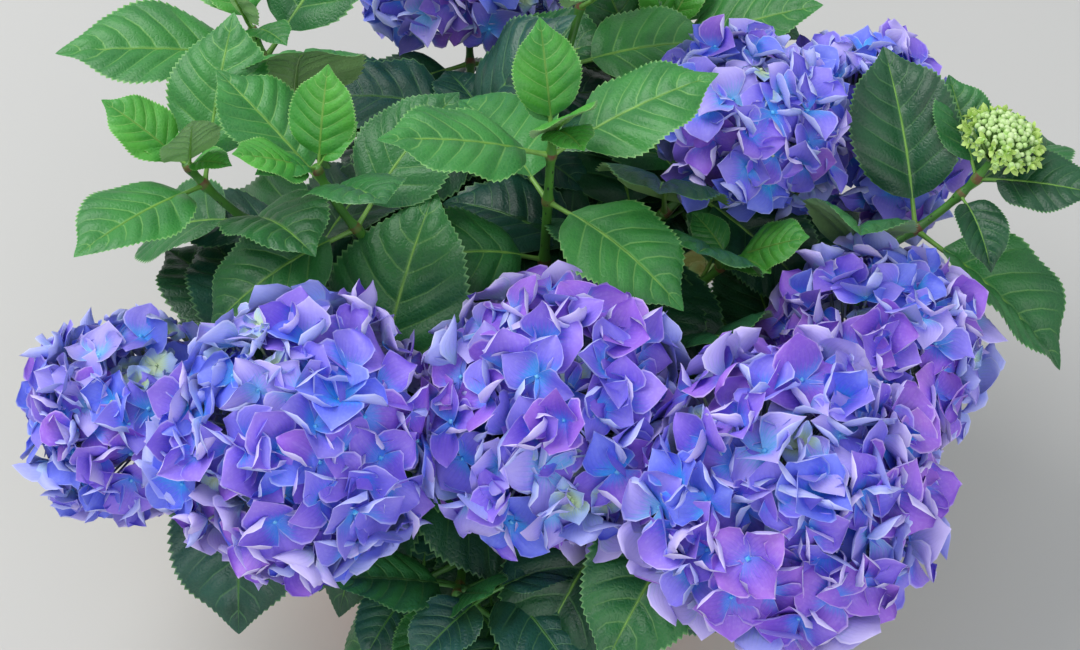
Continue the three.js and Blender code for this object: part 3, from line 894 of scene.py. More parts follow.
def leaves_on(shoot: Shoot, seed: int) -> Leaves:
    """The leaves of one shoot, where the model has them.

    The pairs stand crossed up the stem. Each leaf strays by five seeded draws, and of the changes that
    were tried there, the one is taken whose point is found in the model's own mass of leaves. The leaf in
    front of the bud head alone is then turned aside, made smaller and hung lower.

    Args:
        shoot: The shoot that they grow on.
        seed: The seed of its draws.

    Returns:
        The leaves that the model holds.
    """
    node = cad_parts["foliage_" + shoot.name]
    known = np.zeros(len(node.data.vertices) * 3, np.float32)
    node.data.vertices.foreach_get("co", known)
    known = known.reshape(-1, 3) / MM
    pairs = FLOWER_PAIRS if shoot.bloom is Bloom.HEAD else TIP_PAIRS
    draws = draws_from(seed, shoot.pairs * 10).reshape(-1, 5) * STRAY
    found = []
    for number, stray in enumerate(draws):
        index, side = divmod(number, 2)
        pair = pairs[index]
        t = shoot.joints()[index]
        axis = shoot.towards(t)
        level = np.array([-shoot.lean[1], shoot.lean[0], 0.0])
        u = unit(level - axis * (level @ axis))
        v = np.cross(axis, u)
        turn = math.radians(shoot.turn + 90 * index + 180 * side + stray[0])
        steep = math.radians(pair.steep)
        ahead = (u * math.cos(turn) + v * math.sin(turn)) * math.cos(steep) + axis * math.sin(steep)
        bearing = math.degrees(math.atan2(ahead[1], ahead[0]))
        lift = max(math.degrees(math.asin(ahead[2])), LOWEST_LIFT)
        tries = [
            (*shoot.at(t), bearing + more, lift + higher + stray[1], pair.droop + stray[2], stray[3],
             shoot.leaf * pair.size * size * (1 + stray[4]), index)
            for more, higher, size in TRIES
        ]
        table = np.array(tries)
        tips = _as_leaves(table).place(np.ones((len(table), 1)), np.zeros((1, 1)), np.zeros((1, 1)))
        miss = np.linalg.norm(tips - known[None], axis=2).min(axis=1)
        if miss.min() < SAME_POINT:
            found.append(table[int(np.argmin(miss))])
    some = _as_leaves(np.array(found))
    if shoot.bloom is Bloom.BUD:
        in_front = (some.pair == BUD_LEAF_PAIR) & (np.sin(np.radians(some.bearing)) < 0)
        some.length[in_front] *= BUD_LEAF.size
        some.bearing[in_front] += BUD_LEAF_TURN
        some.lift[in_front] = BUD_LEAF.steep
        some.droop[in_front] = BUD_LEAF.droop
    return some


def _as_leaves(table: Array) -> Leaves:
    """Rows of root, bearing, lift, droop, roll, length and pair as leaves."""
    return Leaves(table[:, :3], *(table[:, i] for i in range(3, 9)))


def ring_frames(ahead: Array, across: Array) -> tuple[Array, Array]:
    """Two directions square to a path: across less its part along the path, and the cross product of the
    path with that.

    Args:
        ahead: Directions of the paths, (paths, rows, 3).
        across: A direction that is never along the path, (paths, 1, 3).

    Returns:
        Both directions, each (paths, rows, 3).
    """
    u = unit(across - ahead * (across * ahead).sum(-1, keepdims=True))
    return u, np.cross(ahead, u)


def tubes(middles: Array, radii: Array, columns: int, across: Array, slots: Array) -> Surface:
    """Tubes round paths, with their ends drawn together. Their points are middle + radius (u cos a +
    v sin a), with the first and last middles as closing rows.

    Args:
        middles: Points of the paths, (paths, rows, 3).
        radii: Radii there, (paths, rows) or (paths, rows, columns).
        columns: Points round each tube.
        across: A direction that is never along the path, (paths, 1, 3).
        slots: The material of each tube, or of each face of each tube.

    Returns:
        The closed tubes.
    """
    ahead = unit(np.gradient(middles, axis=1))
    u, v = ring_frames(ahead, across)
    angle = around(columns)
    radii = radii[..., None] if radii.ndim == 2 else radii
    ring = u[:, :, None] * np.cos(angle)[:, None] + v[:, :, None] * np.sin(angle)[:, None]
    body = middles[:, :, None] + ring * radii[..., None]
    ends = [np.repeat(end[:, :, None], columns, axis=2) for end in (middles[:, :1], middles[:, -1:])]
    places = np.concatenate([ends[0], body, ends[1]], axis=1)
    return Layout.tube(places.shape[1], columns).copies(places, slots)


# The pot and what fills it


def turned(section: Array, columns: int) -> Array:
    """A section turned about the Z axis: (r cos a, r sin a, z) for each of its points of radius and height.

    Args:
        section: Radius and height, (rows, 2).
        columns: Points round the axis.

    Returns:
        Points of (rows, columns, 3).
    """
    radius, height, angle = section[:, :1], section[:, 1:], around(columns)
    return np.stack([radius * np.cos(angle), radius * np.sin(angle), height + 0 * angle], -1)


@dataclass
class Pot:
    """The round plastic pot, turned from one profile, with holes in its floor."""

    height: float = 200.0
    rim: float = 132.0
    neck: float = 124.0
    base: float = 97.0
    rim_height: float = 24.0
    wall: float = 3.0
    floor: float = 4.0
    round_edge: float = 2.0
    holes: int = 6
    hole_radius: float = 7.0
    hole_ring: float = 66.0
    columns: int = 160
    finish: Finish = Mottled(
        "pot_orange_plastic", 0.42, 0.12, 0.3, first="e4641a", second="dc5a14", scale=9.0,
        speck="c9541a", speck_scale=90.0, speck_size=0.12,
    )

    def wall_radius(self, z: Array) -> Array:
        """The outer radius under the rim: base + (neck - base) z / height."""
        return self.base + (self.neck - self.base) * z / self.height

    def profile(self) -> Array:
        """Radius and height round the section, from the middle of the underside out, up, over the rim,
        down inside and back to the middle. Corners are quarter turns of a circle, and a low foot ring, a
        groove under the rim and a rolled lip break up the wall.

        Returns:
            Points of (n, 2), in millimetres.
        """
        r = self.round_edge
        band = self.height - self.rim_height
        quarter = np.radians(np.linspace(0, 90, 5))
        foot = np.stack([self.base - r + r * np.sin(quarter), r - r * np.cos(quarter)], -1)
        heights = np.linspace(r * 2, band - 3, 14)
        side = np.stack([self.wall_radius(heights), heights], -1)
        under = np.array([[self.wall_radius(band), band], [self.rim - r, band + r / 2]])
        lip_low = np.array([[self.rim, band + r + 1], [self.rim, self.height - 8]])
        lip = np.stack([self.rim - 1 + 1.4 * np.sin(quarter * 2), self.height - 6 + np.linspace(0, 4, 5)], -1)
        top = np.stack([self.rim - r + r * np.cos(quarter), self.height - r + r * np.sin(quarter)], -1)
        inner = self.neck - self.wall
        mouth = np.stack([inner + r - r * np.sin(quarter), self.height - r + r * np.cos(quarter)], -1)
        down = np.linspace(self.height - 12, self.floor + r, 6)
        inside = np.stack([self.wall_radius(down) - self.wall, down], -1)
        bed = np.array([[self.wall_radius(0) - self.wall - r, self.floor], [self.base * 0.5, self.floor]])
        under_middle = np.array([[0, 0], [self.base * 0.5, 0.0], [self.base - r * 2, 0.0]])
        parts = [under_middle, foot, side, under, lip_low, lip, top, mouth, inside, bed]
        return np.concatenate([*parts, [[0, self.floor]]])

    def build(self) -> None:
        """Turns the profile about the pot's axis, cuts the holes and dresses the pot."""
        places = turned(self.profile(), self.columns)
        layout = Layout.tube(len(places), self.columns)
        piece = make_piece("plant_pot", layout.copies(places[None], np.zeros(1, int)), (self.finish,))
        self._cut_holes(piece)
        settle(piece, ["pot"])

    def _cut_holes(self, piece: bpy.types.Object) -> None:
        """Cuts the drain holes with one Boolean, and removes the cutter: a rod for each hole, which reaches
        past both faces of the floor."""
        columns, below, above = 24, -2.0, self.floor + 3
        radius = self.hole_radius
        rod = turned(np.array([[0, below], [radius, below], [radius, above], [0, above]]), columns)
        step = (np.arange(self.holes) + 0.5) * 2 * math.pi / self.holes
        middle = np.stack([np.cos(step), np.sin(step), 0 * step], -1) * self.hole_ring
        places = middle[:, None, None] + rod
        cutters = Layout.tube(len(rod), columns).copies(places, np.zeros(self.holes, int))
        cutter = make_piece("pot_hole_cutter", cutters, (self.finish,))
        cut = piece.modifiers.new("holes", "BOOLEAN")
        cut.operation, cut.solver, cut.object = "DIFFERENCE", "EXACT", cutter
        shown = piece.evaluated_get(bpy.context.evaluated_depsgraph_get())
        done = bpy.data.meshes.new_from_object(shown)
        piece.modifiers.clear()
        piece.data = done
        bpy.data.objects.remove(cutter)


@dataclass
class Compost:
    """The compost that fills the pot, with crumbs and bark chips on top."""

    top: float = COMPOST_TOP
    shoulder: float = 6.0
    clearance: float = 0.45
    unevenness: float = 0.7
    crumbs: float = 0.9
    settled: float = 1.0
    chips: int = 420
    columns: int = 96
    rings: int = 34
    earth: Finish = Mottled(
        "compost_earth", 0.95, 0.9, 1.5, first="3b2b1f", second="2a1e16", scale=120.0,
        speck="6b5138", speck_scale=260.0, speck_size=0.22,
    )
    bark: Finish = Mottled("compost_bark_chips", 0.85, 0.6, 0.8, first="5a3f2a", second="3d2a1d", scale=150.0)

    def build(self, pot: Pot) -> None:
        """Makes the filled body and its chips as one piece.

        Args:
            pot: The pot that holds the compost.
        """
        rng = np.random.default_rng(7)
        parts = [self._body(pot, rng), self._chips(pot, rng)]
        piece = make_piece("compost_fill", Surface.joined(parts), (self.earth, self.bark))
        settle(piece, ["compost"])

    def _inside(self, pot: Pot, z: Array) -> Array:
        """The compost's radius at a height."""
        return pot.wall_radius(z) - pot.wall - self.clearance

    def _body(self, pot: Pot, rng: Draws) -> Surface:
        """A filled cup whose top is uneven: height = top - settled + unevenness · the sum of seven waves in
        seeded directions + crumbs · a seeded number at each point, fading out at the rim."""
        low = pot.floor + GAP
        edge = self.top - self.shoulder
        radii = np.linspace(1, 0, self.rings) ** 0.85 * (self._inside(pot, self.top) - self.shoulder)
        heights = np.full(self.rings, self.top)
        section = np.concatenate([
            [[0, low], [self._inside(pot, low), low], [self._inside(pot, edge), edge]],
            np.stack([radii, heights], -1),
        ])
        x, y, z = np.moveaxis(turned(section, self.columns), -1, 0)
        waves = rng.normal(size=(7, 2)) * 0.12
        phases = rng.uniform(0, 2 * math.pi, 7)
        bumps = np.sin(x[..., None] * waves[:, 0] + y[..., None] * waves[:, 1] + phases).sum(-1)
        grain = rng.uniform(-1, 1, z.shape)
        on_top = (section[:, 1] >= self.top)[:, None] * smooth(radii.max() - np.hypot(x, y), 0, 10)
        z = z + on_top * (bumps * self.unevenness + grain * self.crumbs - self.settled)
        z[-1] = z[-1].mean()
        layout = Layout.tube(len(section), self.columns)
        return layout.copies(np.stack([x, y, z], -1)[None], np.zeros(1, int))

    def _chips(self, pot: Pot, rng: Draws) -> Surface:
        """Flat crumbs of bark that lie on the top at seeded places: squashed balls of a few faces."""
        count, rows, columns = self.chips, 5, 6
        reach = np.sqrt(rng.uniform(0, 1, count)) * (self._inside(pot, self.top) - self.shoulder * 2)
        bearing = rng.uniform(0, 2 * math.pi, count)
        height = self.top + rng.uniform(-0.5, 1.5, count)
        middle = np.stack([reach * np.cos(bearing), reach * np.sin(bearing), height], -1)
        size = np.stack([rng.uniform(*ends, count) for ends in ((3, 8), (1.8, 4), (0.9, 1.8))], -1)
        rough = 1 + rng.uniform(-0.28, 0.28, (count, rows, columns, 1))
        rough[:, 0], rough[:, -1] = 1, 1
        shape = round_bead(rows, columns) * rough * size[:, None, None]
        turn = rng.uniform(0, 2 * math.pi, count)[:, None, None]
        tilt = rng.uniform(-0.35, 0.35, count)[:, None, None]
        x, y, z = np.moveaxis(shape, -1, 0)
        x, z = x * np.cos(tilt) - z * np.sin(tilt), x * np.sin(tilt) + z * np.cos(tilt)
        x, y = x * np.cos(turn) - y * np.sin(turn), x * np.sin(turn) + y * np.cos(turn)
        places = np.stack([x, y, z], -1) + middle[:, None, None]
        return Layout.tube(rows, columns).copies(places, np.ones(count, int))


# Canes, shoots and stalks


@dataclass
class WoodyCanes:
    """The old wood that rises from the compost and forks into the green shoots."""

    rows: int = 30
    columns: int = 36
    sunk: float = 6.0
    ridge: float = 0.32
    grain: float = 0.22
    knot: float = 1.2
    knot_at: float = 0.72
    flare: float = 1.8
    bark: Finish = Mottled(
        "cane_bark", 0.85, 0.7, 0.8, first="7d7350", second="5b4d34", scale=90.0,
        speck="3a3022", speck_scale=330.0, speck_size=0.25, stretch=3.0,
    )

    def build(self) -> None:
        """Makes all canes as one piece. Their radii taper, and flare out at the foot and in one knot. Two
        sets of ridges that wind about the cane and a seeded grain are laid over them."""
        rng = np.random.default_rng(11)
        share = np.linspace(0, 1, self.rows)[:, None]
        feet = np.array([(*foot, COMPOST_TOP + GAP) for foot, _ in CANES.values()])[:, None]
        tips = np.array([tip for _, tip in CANES.values()], float)[:, None]
        ahead = unit(unit(tips * (1, 1, 0)) * CANE_LEAN + UP)
        third = np.linalg.norm(tips - feet, axis=-1, keepdims=True) / 3
        middles = cubic((feet, feet + UP * third, tips - ahead * third, tips), share[None])
        middles[:, 0] -= UP * self.sunk
        angle = around(self.columns)
        ridges = np.sin(angle * 7 + 5 * share + rng.uniform(0, 6, (len(CANES), 1, 1)))
        ridges += np.sin(angle * 13 - 9 * share + rng.uniform(0, 6, (len(CANES), 1, 1))) * 0.7
        grain = rng.uniform(-1, 1, (len(CANES), self.rows, self.columns))
        knots = np.exp(-(((share - self.knot_at) / 0.07) ** 2)) * self.knot
        flare = np.exp(-share / 0.12) * self.flare
        taper = CANE.foot + (CANE.tip - CANE.foot) * share
        radii = taper + ridges * self.ridge + grain * self.grain + knots + flare
        across = np.cross(UP, unit(tips * (1, 1, 0)))
        surface = tubes(middles, radii, self.columns, across, np.zeros(len(CANES), int))
        piece = make_piece("woody_canes", surface, (self.bark,))
        settle(piece, ["cane_" + name for name in CANES])


@dataclass
class GreenShoots:
    """The green stems from fork to tip, the leaves' stalks and midribs, and the florets' own stalks."""

    rows: int = 84
    columns: int = 12
    sunk: float = 4.0
    knot: float = 1.3
    knot_length: float = 5.0
    flare: float = 1.3
    flare_length: float = 7.0
    stalk_radii: tuple[float, ...] = (3.3, 2.5, 1.9, 1.7, 1.75, 1.5, 1.2, 0.95, 0.7, 0.35)
    stalk_columns: int = 8
    stem: Finish = Mottled(
        "stem_green", 0.45, 0.25, 0.3, first="4f8a30", second="3d7028", scale=45.0,
        speck="1a3217", speck_size=0.24, stretch=2.2,
    )
    joint: Finish = Mottled(
        "stem_joint_reddish", 0.5, 0.3, 0.3, first="5f7a33", second="6e4a30", scale=140.0, speck="4a261e"
    )
    stalks: tuple[Finish, ...] = (
        Mottled("leaf_stalk_green", 0.42, 0.2, 0.2, first="7fb04c", second="66993c", scale=60.0),
        Mottled("leaf_stalk_dark", 0.42, 0.2, 0.2, first="558a42", second="447a38", scale=60.0),
    )
    floret_stalks: tuple[Finish, ...] = (
        Mottled("floret_stalk_pale", 0.55, 0.2, 0.2, first="8fa678", second="7d80b4", scale=120.0),
        Mottled("bud_stalk_green", 0.5, 0.2, 0.2, first="a4c878", second="8ab45e", scale=120.0),
    )

    def build(
        self,
        shoots: list[Shoot],
        leaves: list[Leaves],
        twigs: list[Array],
        florets: list[tuple[Array, Array]],
    ) -> None:
        """Makes the stems, the leaf stalks and the floret stalks, each kind as one piece.

        Args:
            shoots: All shoots.
            leaves: Each shoot's leaves.
            twigs: The side twigs' paths, each (rows, 3).
            florets: Feet and tops of the florets' stalks, head by head.
        """
        stalks = Surface.joined([self._twigs(np.array(twigs)), *(self._leaf_stalks(some) for some in leaves)])
        for name, surface, finishes, nodes in (
            ("green_stems", self._stems(shoots), (self.stem, self.joint), ["stem_" + s.name for s in shoots]),
            ("leaf_stalks", stalks, self.stalks, []),
            ("floret_stalks", self._floret_stalks(florets), self.floret_stalks, []),
        ):
            settle(make_piece(name, surface, finishes), nodes)

    def _stems(self, shoots: list[Shoot]) -> Surface:
        """Tapering stems that swell where each pair of leaves stands, by knot · exp(-(d/knot_length)²), and
        at the foot, by flare · exp(-d/flare_length). Next to a pair they have the joints' finish."""
        middles, radii, slots = [], [], []
        for shoot in shoots:
            end = 1 - (shoot.bloom is not Bloom.NONE) * STALK_SUNK * shoot.radius / shoot.length
            t = np.linspace(0, end, self.rows)
            line = shoot.at(t)
            line[0] -= UP * self.sunk
            taper = STEM.foot + (STEM.tip - STEM.foot) * t / end
            off = (t[:, None] - shoot.joints()) * shoot.length
            swell = self.knot * np.exp(-((off / self.knot_length) ** 2)).sum(1)
            radii.append(taper + swell + self.flare * np.exp(-t * shoot.length / self.flare_length))
            middles.append(line)
            near = np.abs(off).min(axis=1) < self.knot_length * 0.5
            slots.append(np.repeat(np.append(False, near), self.columns))
        across = np.array([np.cross(UP, shoot.lean) for shoot in shoots])[:, None]
        return tubes(np.array(middles), np.array(radii), self.columns, across, np.array(slots).astype(int))

    def _twigs(self, paths: Array) -> Surface:
        """Short side twigs of a nearly even radius."""
        radii = np.broadcast_to(np.linspace(2.3, 1.7, paths.shape[1]), paths.shape[:2])
        across = square_to(paths[:, -1:] - paths[:, :1])[0]
        return tubes(paths, radii, self.stalk_columns, across, np.ones(len(paths), int))

    def _leaf_stalks(self, some: Leaves) -> Surface:
        """Stalks that clasp the stem, thin towards the blade and run on under it as its midrib. Low ones and
        those of the side twigs are darker."""
        on_stalk, on_blade = np.array([0.0, 0.12, 0.35, 0.7]), np.array([0.0, 0.12, 0.3, 0.5, 0.7, 0.88])
        blade_s = np.broadcast_to(on_blade, (len(some.length), len(on_blade)))
        share = some.length[:, None] / USUAL_LEAF
        rib = some.place(blade_s, np.zeros_like(blade_s), -(0.9 + 0.5 * (1 - blade_s)) * share)
        stalk = some.root[:, None] + (rib[:, :1] - some.root[:, None]) * on_stalk[:, None]
        middles = np.concatenate([stalk, rib], axis=1)
        radii = np.array(self.stalk_radii) * share**0.6
        across = np.cross(UP, level_way(some.bearing))[:, None]
        dark = (some.pair == TWIG_PAIR) | (some.root[:, 2] < LOW_LEAVES)
        return tubes(middles, radii, self.stalk_columns, across, dark.astype(int))

    def _floret_stalks(self, florets: list[tuple[Array, Array]]) -> Surface:
        """Thin straight stalks from inside a head to each floret. The last head's are green."""
        foot, top = (np.concatenate(ends)[:, None] for ends in zip(*florets))
        middles = foot + (top - foot) * np.array([0.0, 0.5, 1.0])[:, None]
        radii = np.broadcast_to([1.3, 0.9, 1.0], middles.shape[:2])
        green = np.arange(len(foot)) >= len(foot) - len(florets[-1][0])
        return tubes(middles, radii, 4, square_to(unit(top - foot))[0], green.astype(int))


# Leaves


@dataclass
class Foliage:
    """The toothed and quilted leaves of every shoot, one piece for each mass."""

    width: float = 0.72
    folds: tuple[float, float] = (4.0, 17.0)
    bud_folds: tuple[float, float] = (12.0, 34.0)
    teeth: int = 28
    small_teeth: int = 18
    tooth: float = 0.05
    tooth_peak: float = 0.72
    thickness: float = 0.5
    quilt: float = 2.7
    groove: float = 1.3
    wave: float = 3.0
    columns: tuple[float, ...] = (0.0, 0.16, 0.42, 0.74, 1.0)
    uppers: tuple[Finish, ...] = (
        LeafSide("leaf_young", 0.45, 0.5, 0.4, blade="4fa335", shade="3e9138", vein="8fc468", edge="a6d67e"),
        LeafSide("leaf_fresh", 0.43, 0.5, 0.45, blade="3c8a3c", shade="2f7836", vein="7cb35c", edge="8fc472"),
        LeafSide("leaf_grown", 0.42, 0.55, 0.5, blade="2f7538", shade="246233", vein="66994f", edge="7db36c"),
        LeafSide("leaf_dark", 0.42, 0.5, 0.5, vein_share=0.5,
                 blade="1f5532", shade="18442c", vein="4f8048", edge="689c5a"),
        # Dark green with a blue cast painted in: a painted reflection of the sky's sheen on older glossy
        # leaves
        LeafSide("leaf_bluish", 0.38, 0.5, 0.5, vein_share=0.5,
                 blade="255a4a", shade="1b4738", vein="5c8e5a", edge="74a46c"),
    )
    under: Finish = LeafSide("leaf_underside", 0.6, 0.5, 0.6, vein_share=0.5,
                             blade="9ac67c", shade="8aba70", vein="b2d298", edge="acd088")

    def build(self, shoots: list[Shoot], leaves: list[Leaves]) -> None:
        """Makes one piece for each mass of leaves.

        Args:
            shoots: All shoots.
            leaves: Each shoot's leaves.
        """
        for number, (shoot, some) in enumerate(zip(shoots, leaves)):
            rng = np.random.default_rng(300 + number)
            ages = self._ages(shoot, some, rng)
            folds = self.bud_folds if shoot.bloom is Bloom.BUD else self.folds
            small = np.isin(some.pair, (YOUNG_PAIR, TWIG_PAIR))
            parts = []
            for chosen, teeth in ((~small, self.teeth), (small, self.small_teeth)):
                if chosen.any():
                    lot = Leaves(*(getattr(some, entry.name)[chosen] for entry in fields(Leaves)))
                    slots = np.stack([ages[chosen], np.full(chosen.sum(), len(self.uppers))], -1)
                    parts.append(self._blades(lot, slots, teeth, folds, rng))
            piece = make_piece("leaves_" + shoot.name, Surface.joined(parts), (*self.uppers, self.under))
            settle(piece, ["foliage_" + shoot.name])

    def _ages(self, shoot: Shoot, some: Leaves, rng: Draws) -> Array:
        """Deals out the finishes: the topmost pairs of a leafy shoot are youngest, and leaves under a
        flower head are old and dark. A ladder has the finishes of the four pairs down the stem, of side
        twigs, and of the young pair at a tip. One leaf in three, and each low one, is a step older."""
        ladder = np.array({
            Bloom.NONE: (0, 1, 1, 2, 3, 0),
            Bloom.BUD: (2, 2, 2, 2, 3, 1),
            Bloom.HEAD: (2, 2, 3, 3, 3, 1),
        }[shoot.bloom])
        # Older steps run darker; the last is the dark finish with a painted bluish sky sheen.
        age = ladder[some.pair.astype(int)] + rng.choice([0, 0, 1], len(some.pair))
        low = (some.root[:, 2] < LOW_LEAVES) & (some.pair != YOUNG_PAIR)
        return np.clip(age + low, 0, len(self.uppers) - 1)

    def _blades(
        self, some: Leaves, slots: Array, teeth: int, folds: tuple[float, float], rng: Draws
    ) -> Surface:
        """The blades of one lot.

        Half breadth = width/2 · length · 2.74 s^0.62 (1 - s)^0.86, drawn in near the point, with teeth that
        lean towards the point. Height over the midrib's arc = fold + arch + quilting between the side veins
        (a sine of their count) + a groove over the midrib + long waves towards the edge.

        Args:
            some: The leaves.
            slots: Materials of both sides of each leaf.
            teeth: How many teeth a side has.
            folds: Least and greatest angle at which the halves rise from the midrib.
            rng: Seeded numbers for their folds and waves.

        Returns:
            The closed blades.
        """
        steps = np.arange(teeth)[:, None] / teeth
        start = VEINS.starts(np.append((steps + np.array([0, self.tooth_peak]) / teeth).ravel(), 1.0))
        peaks = np.append(np.tile([0.0, 1.0], teeth), 0.0)
        across = np.concatenate([-np.array(self.columns[:0:-1]), self.columns])
        far = np.abs(across)
        along = start[:, None] + VEINS.lead(start)[:, None] * far**VEINS.curve
        count, shape = len(some.length), (len(some.length), *along.shape)
        length = some.length[:, None, None]
        breadth = 2.74 * along**0.62 * (1 - along) ** 0.86 * (1 - 0.42 * smooth(along, 0.72, 0.95))
        breadth[0] = 0.045
        half = length * self.width / 2 * breadth
        bite = self.tooth * peaks[:, None] * smooth(along, 0.02, 0.2) * smooth(1 - along, 0.0, 0.12)
        bite = bite * smooth(far, 0.74, 1.0)
        fold = np.radians(rng.uniform(*folds, (count, 1, 1)))
        pillows = np.abs(np.sin(math.pi * start * VEINS.count))[:, None] ** 0.8
        pillows = pillows * smooth(1 - far, 0.0, 0.3) * smooth(far, 0.0, 0.15)
        fade = smooth(along, 0.0, 0.12) * smooth(1 - along, 0.0, 0.2)
        size = length / USUAL_LEAF
        offset = rng.uniform(0, 2 * math.pi, (2, count, 1, 1))
        turns = rng.uniform(1.6, 2.6, (count, 1, 1))
        wave = np.sin(turns * 2 * math.pi * along + np.where(across < 0, offset[0], offset[1])) * far**2
        arch = rng.uniform(0.04, 0.2, (count, 1, 1))
        height = far * half * np.sin(fold) - arch * half * far**2
        relief = pillows * self.quilt - self.groove * np.exp(-((far / 0.09) ** 2)) + wave * self.wave
        height = height + relief * fade * size
        side = across * half * (1 + 1.3 * bite) * np.cos(fold)
        thin = self.thickness * (1 - far**4) * (0.4 + 0.6 * smooth(1 - along, 0.0, 0.3)) * size
        both = []
        for depth in (height, height - thin):
            grids = (along + 0.12 * bite, side, depth)
            flat = [np.broadcast_to(grid, shape).reshape(count, -1) for grid in grids]
            both.append(some.place(*flat).reshape(*shape, 3))
        return Layout.blade(start, across).copies(np.stack(both, axis=1), slots)


# Flower heads


def run_out(steps: Array) -> Array:
    """Running sums along the last axis, from 0."""
    return np.concatenate([np.zeros_like(steps[..., :1]), np.cumsum(steps, axis=-1)], axis=-1)


def four_frames(facing: Array, turn: Array) -> tuple[Array, Array, Array]:
    """The frames of four sepals round each middle.

    Args:
        facing: The ways that the middles face, (middles, 3).
        turn: The sepals' angles about those, (middles, 4).

    Returns:
        For each sepal the way out from the middle, the way across it and the way the middle faces, each
        (sepals, 1, 3).
    """
    a, b, n = (np.repeat(way, 4, axis=0)[:, None] for way in (*square_to(facing), facing))
    turn = turn.reshape(-1, 1, 1)
    return a * np.cos(turn) + b * np.sin(turn), b * np.cos(turn) - a * np.sin(turn), n


@dataclass(frozen=True)
class HeadRule:
    """How a flower head's ball is shaped and where its florets stand."""

    flattening: float = 0.86
    lowest: float = 122.0
    press: float = 1.5
    inset: float = 8.0


RULE = HeadRule()


@dataclass
class HeadSkin:
    """The outline of one head: a flattened ball, kept short of the planes where it presses on others."""

    middle: Array
    axis: Array
    radius: float
    wall_normals: Array
    wall_distances: Array

    @staticmethod
    def among(shoot: Shoot, blooming: list[Shoot]) -> "HeadSkin":
        """The skin of one shoot's head among all heads. A wall stands midway to a neighbour, by their
        radii, and counts where it is nearer than the radius and a little more."""
        middle = np.array(shoot.tip, float)
        others = [s for s in blooming if s is not shoot]
        ways = np.array([s.tip for s in others], float) - middle
        apart = np.linalg.norm(ways, axis=1)
        share = shoot.radius / (shoot.radius + np.array([s.radius for s in others]))
        distance = apart * share - RULE.press
        near = distance < shoot.radius + RULE.inset
        return HeadSkin(middle, shoot.axis, shoot.radius, ways[near] / apart[near, None], distance[near])

    def directions(self, count: int, lowest: float) -> Array:
        """Directions spread evenly from the axis down to an angle, by turns of the golden angle."""
        side = unit(np.array([-self.axis[1], self.axis[0], 0.0]))
        other = np.cross(self.axis, side)
        number = np.arange(count)
        height = 1 - (number + 0.5) / count * (1 - math.cos(math.radians(lowest)))
        ring = np.sqrt(1 - height**2)[:, None]
        turn = (number * math.pi * (3 - math.sqrt(5)))[:, None]
        return height[:, None] * self.axis + ring * (np.cos(turn) * side + np.sin(turn) * other)

    def reach(self, directions: Array) -> tuple[Array, Array]:
        """How far the skin is in each direction, and the way it faces there."""
        along = directions @ self.axis
        depth = self.radius * RULE.flattening
        distance = 1 / np.sqrt(along**2 / depth**2 + (1 - along**2) / self.radius**2)
        normal = unit(directions + self.axis * (along * ((self.radius / depth) ** 2 - 1))[:, None])
        for wall, limit in zip(self.wall_normals, self.wall_distances):
            towards = directions @ wall
            to_wall = np.where(towards > 0, limit / np.maximum(towards, 1e-6), np.inf)
            pressed = to_wall < distance
            distance = np.where(pressed, to_wall, distance)
            normal = np.where(pressed[:, None], unit(wall + directions), normal)
        return distance, normal

    def kept_in(self, points: Array, give: float) -> Array:
        """Points past a wall are pressed back towards it, all but the share give."""
        for wall, limit in zip(self.wall_normals, self.wall_distances):
            over = np.maximum((points - self.middle) @ wall - limit, 0.0)
            points = points - over[..., None] * wall * (1 - give)
        return points

    def feet(self, middle: Array, back: float, spread: float) -> Array:
        """Where the stalks of florets start: back radii behind the head's middle, and spread apart by a
        share of the florets' own places."""
        return self.middle - self.axis * self.radius * back + (middle - self.middle) * spread


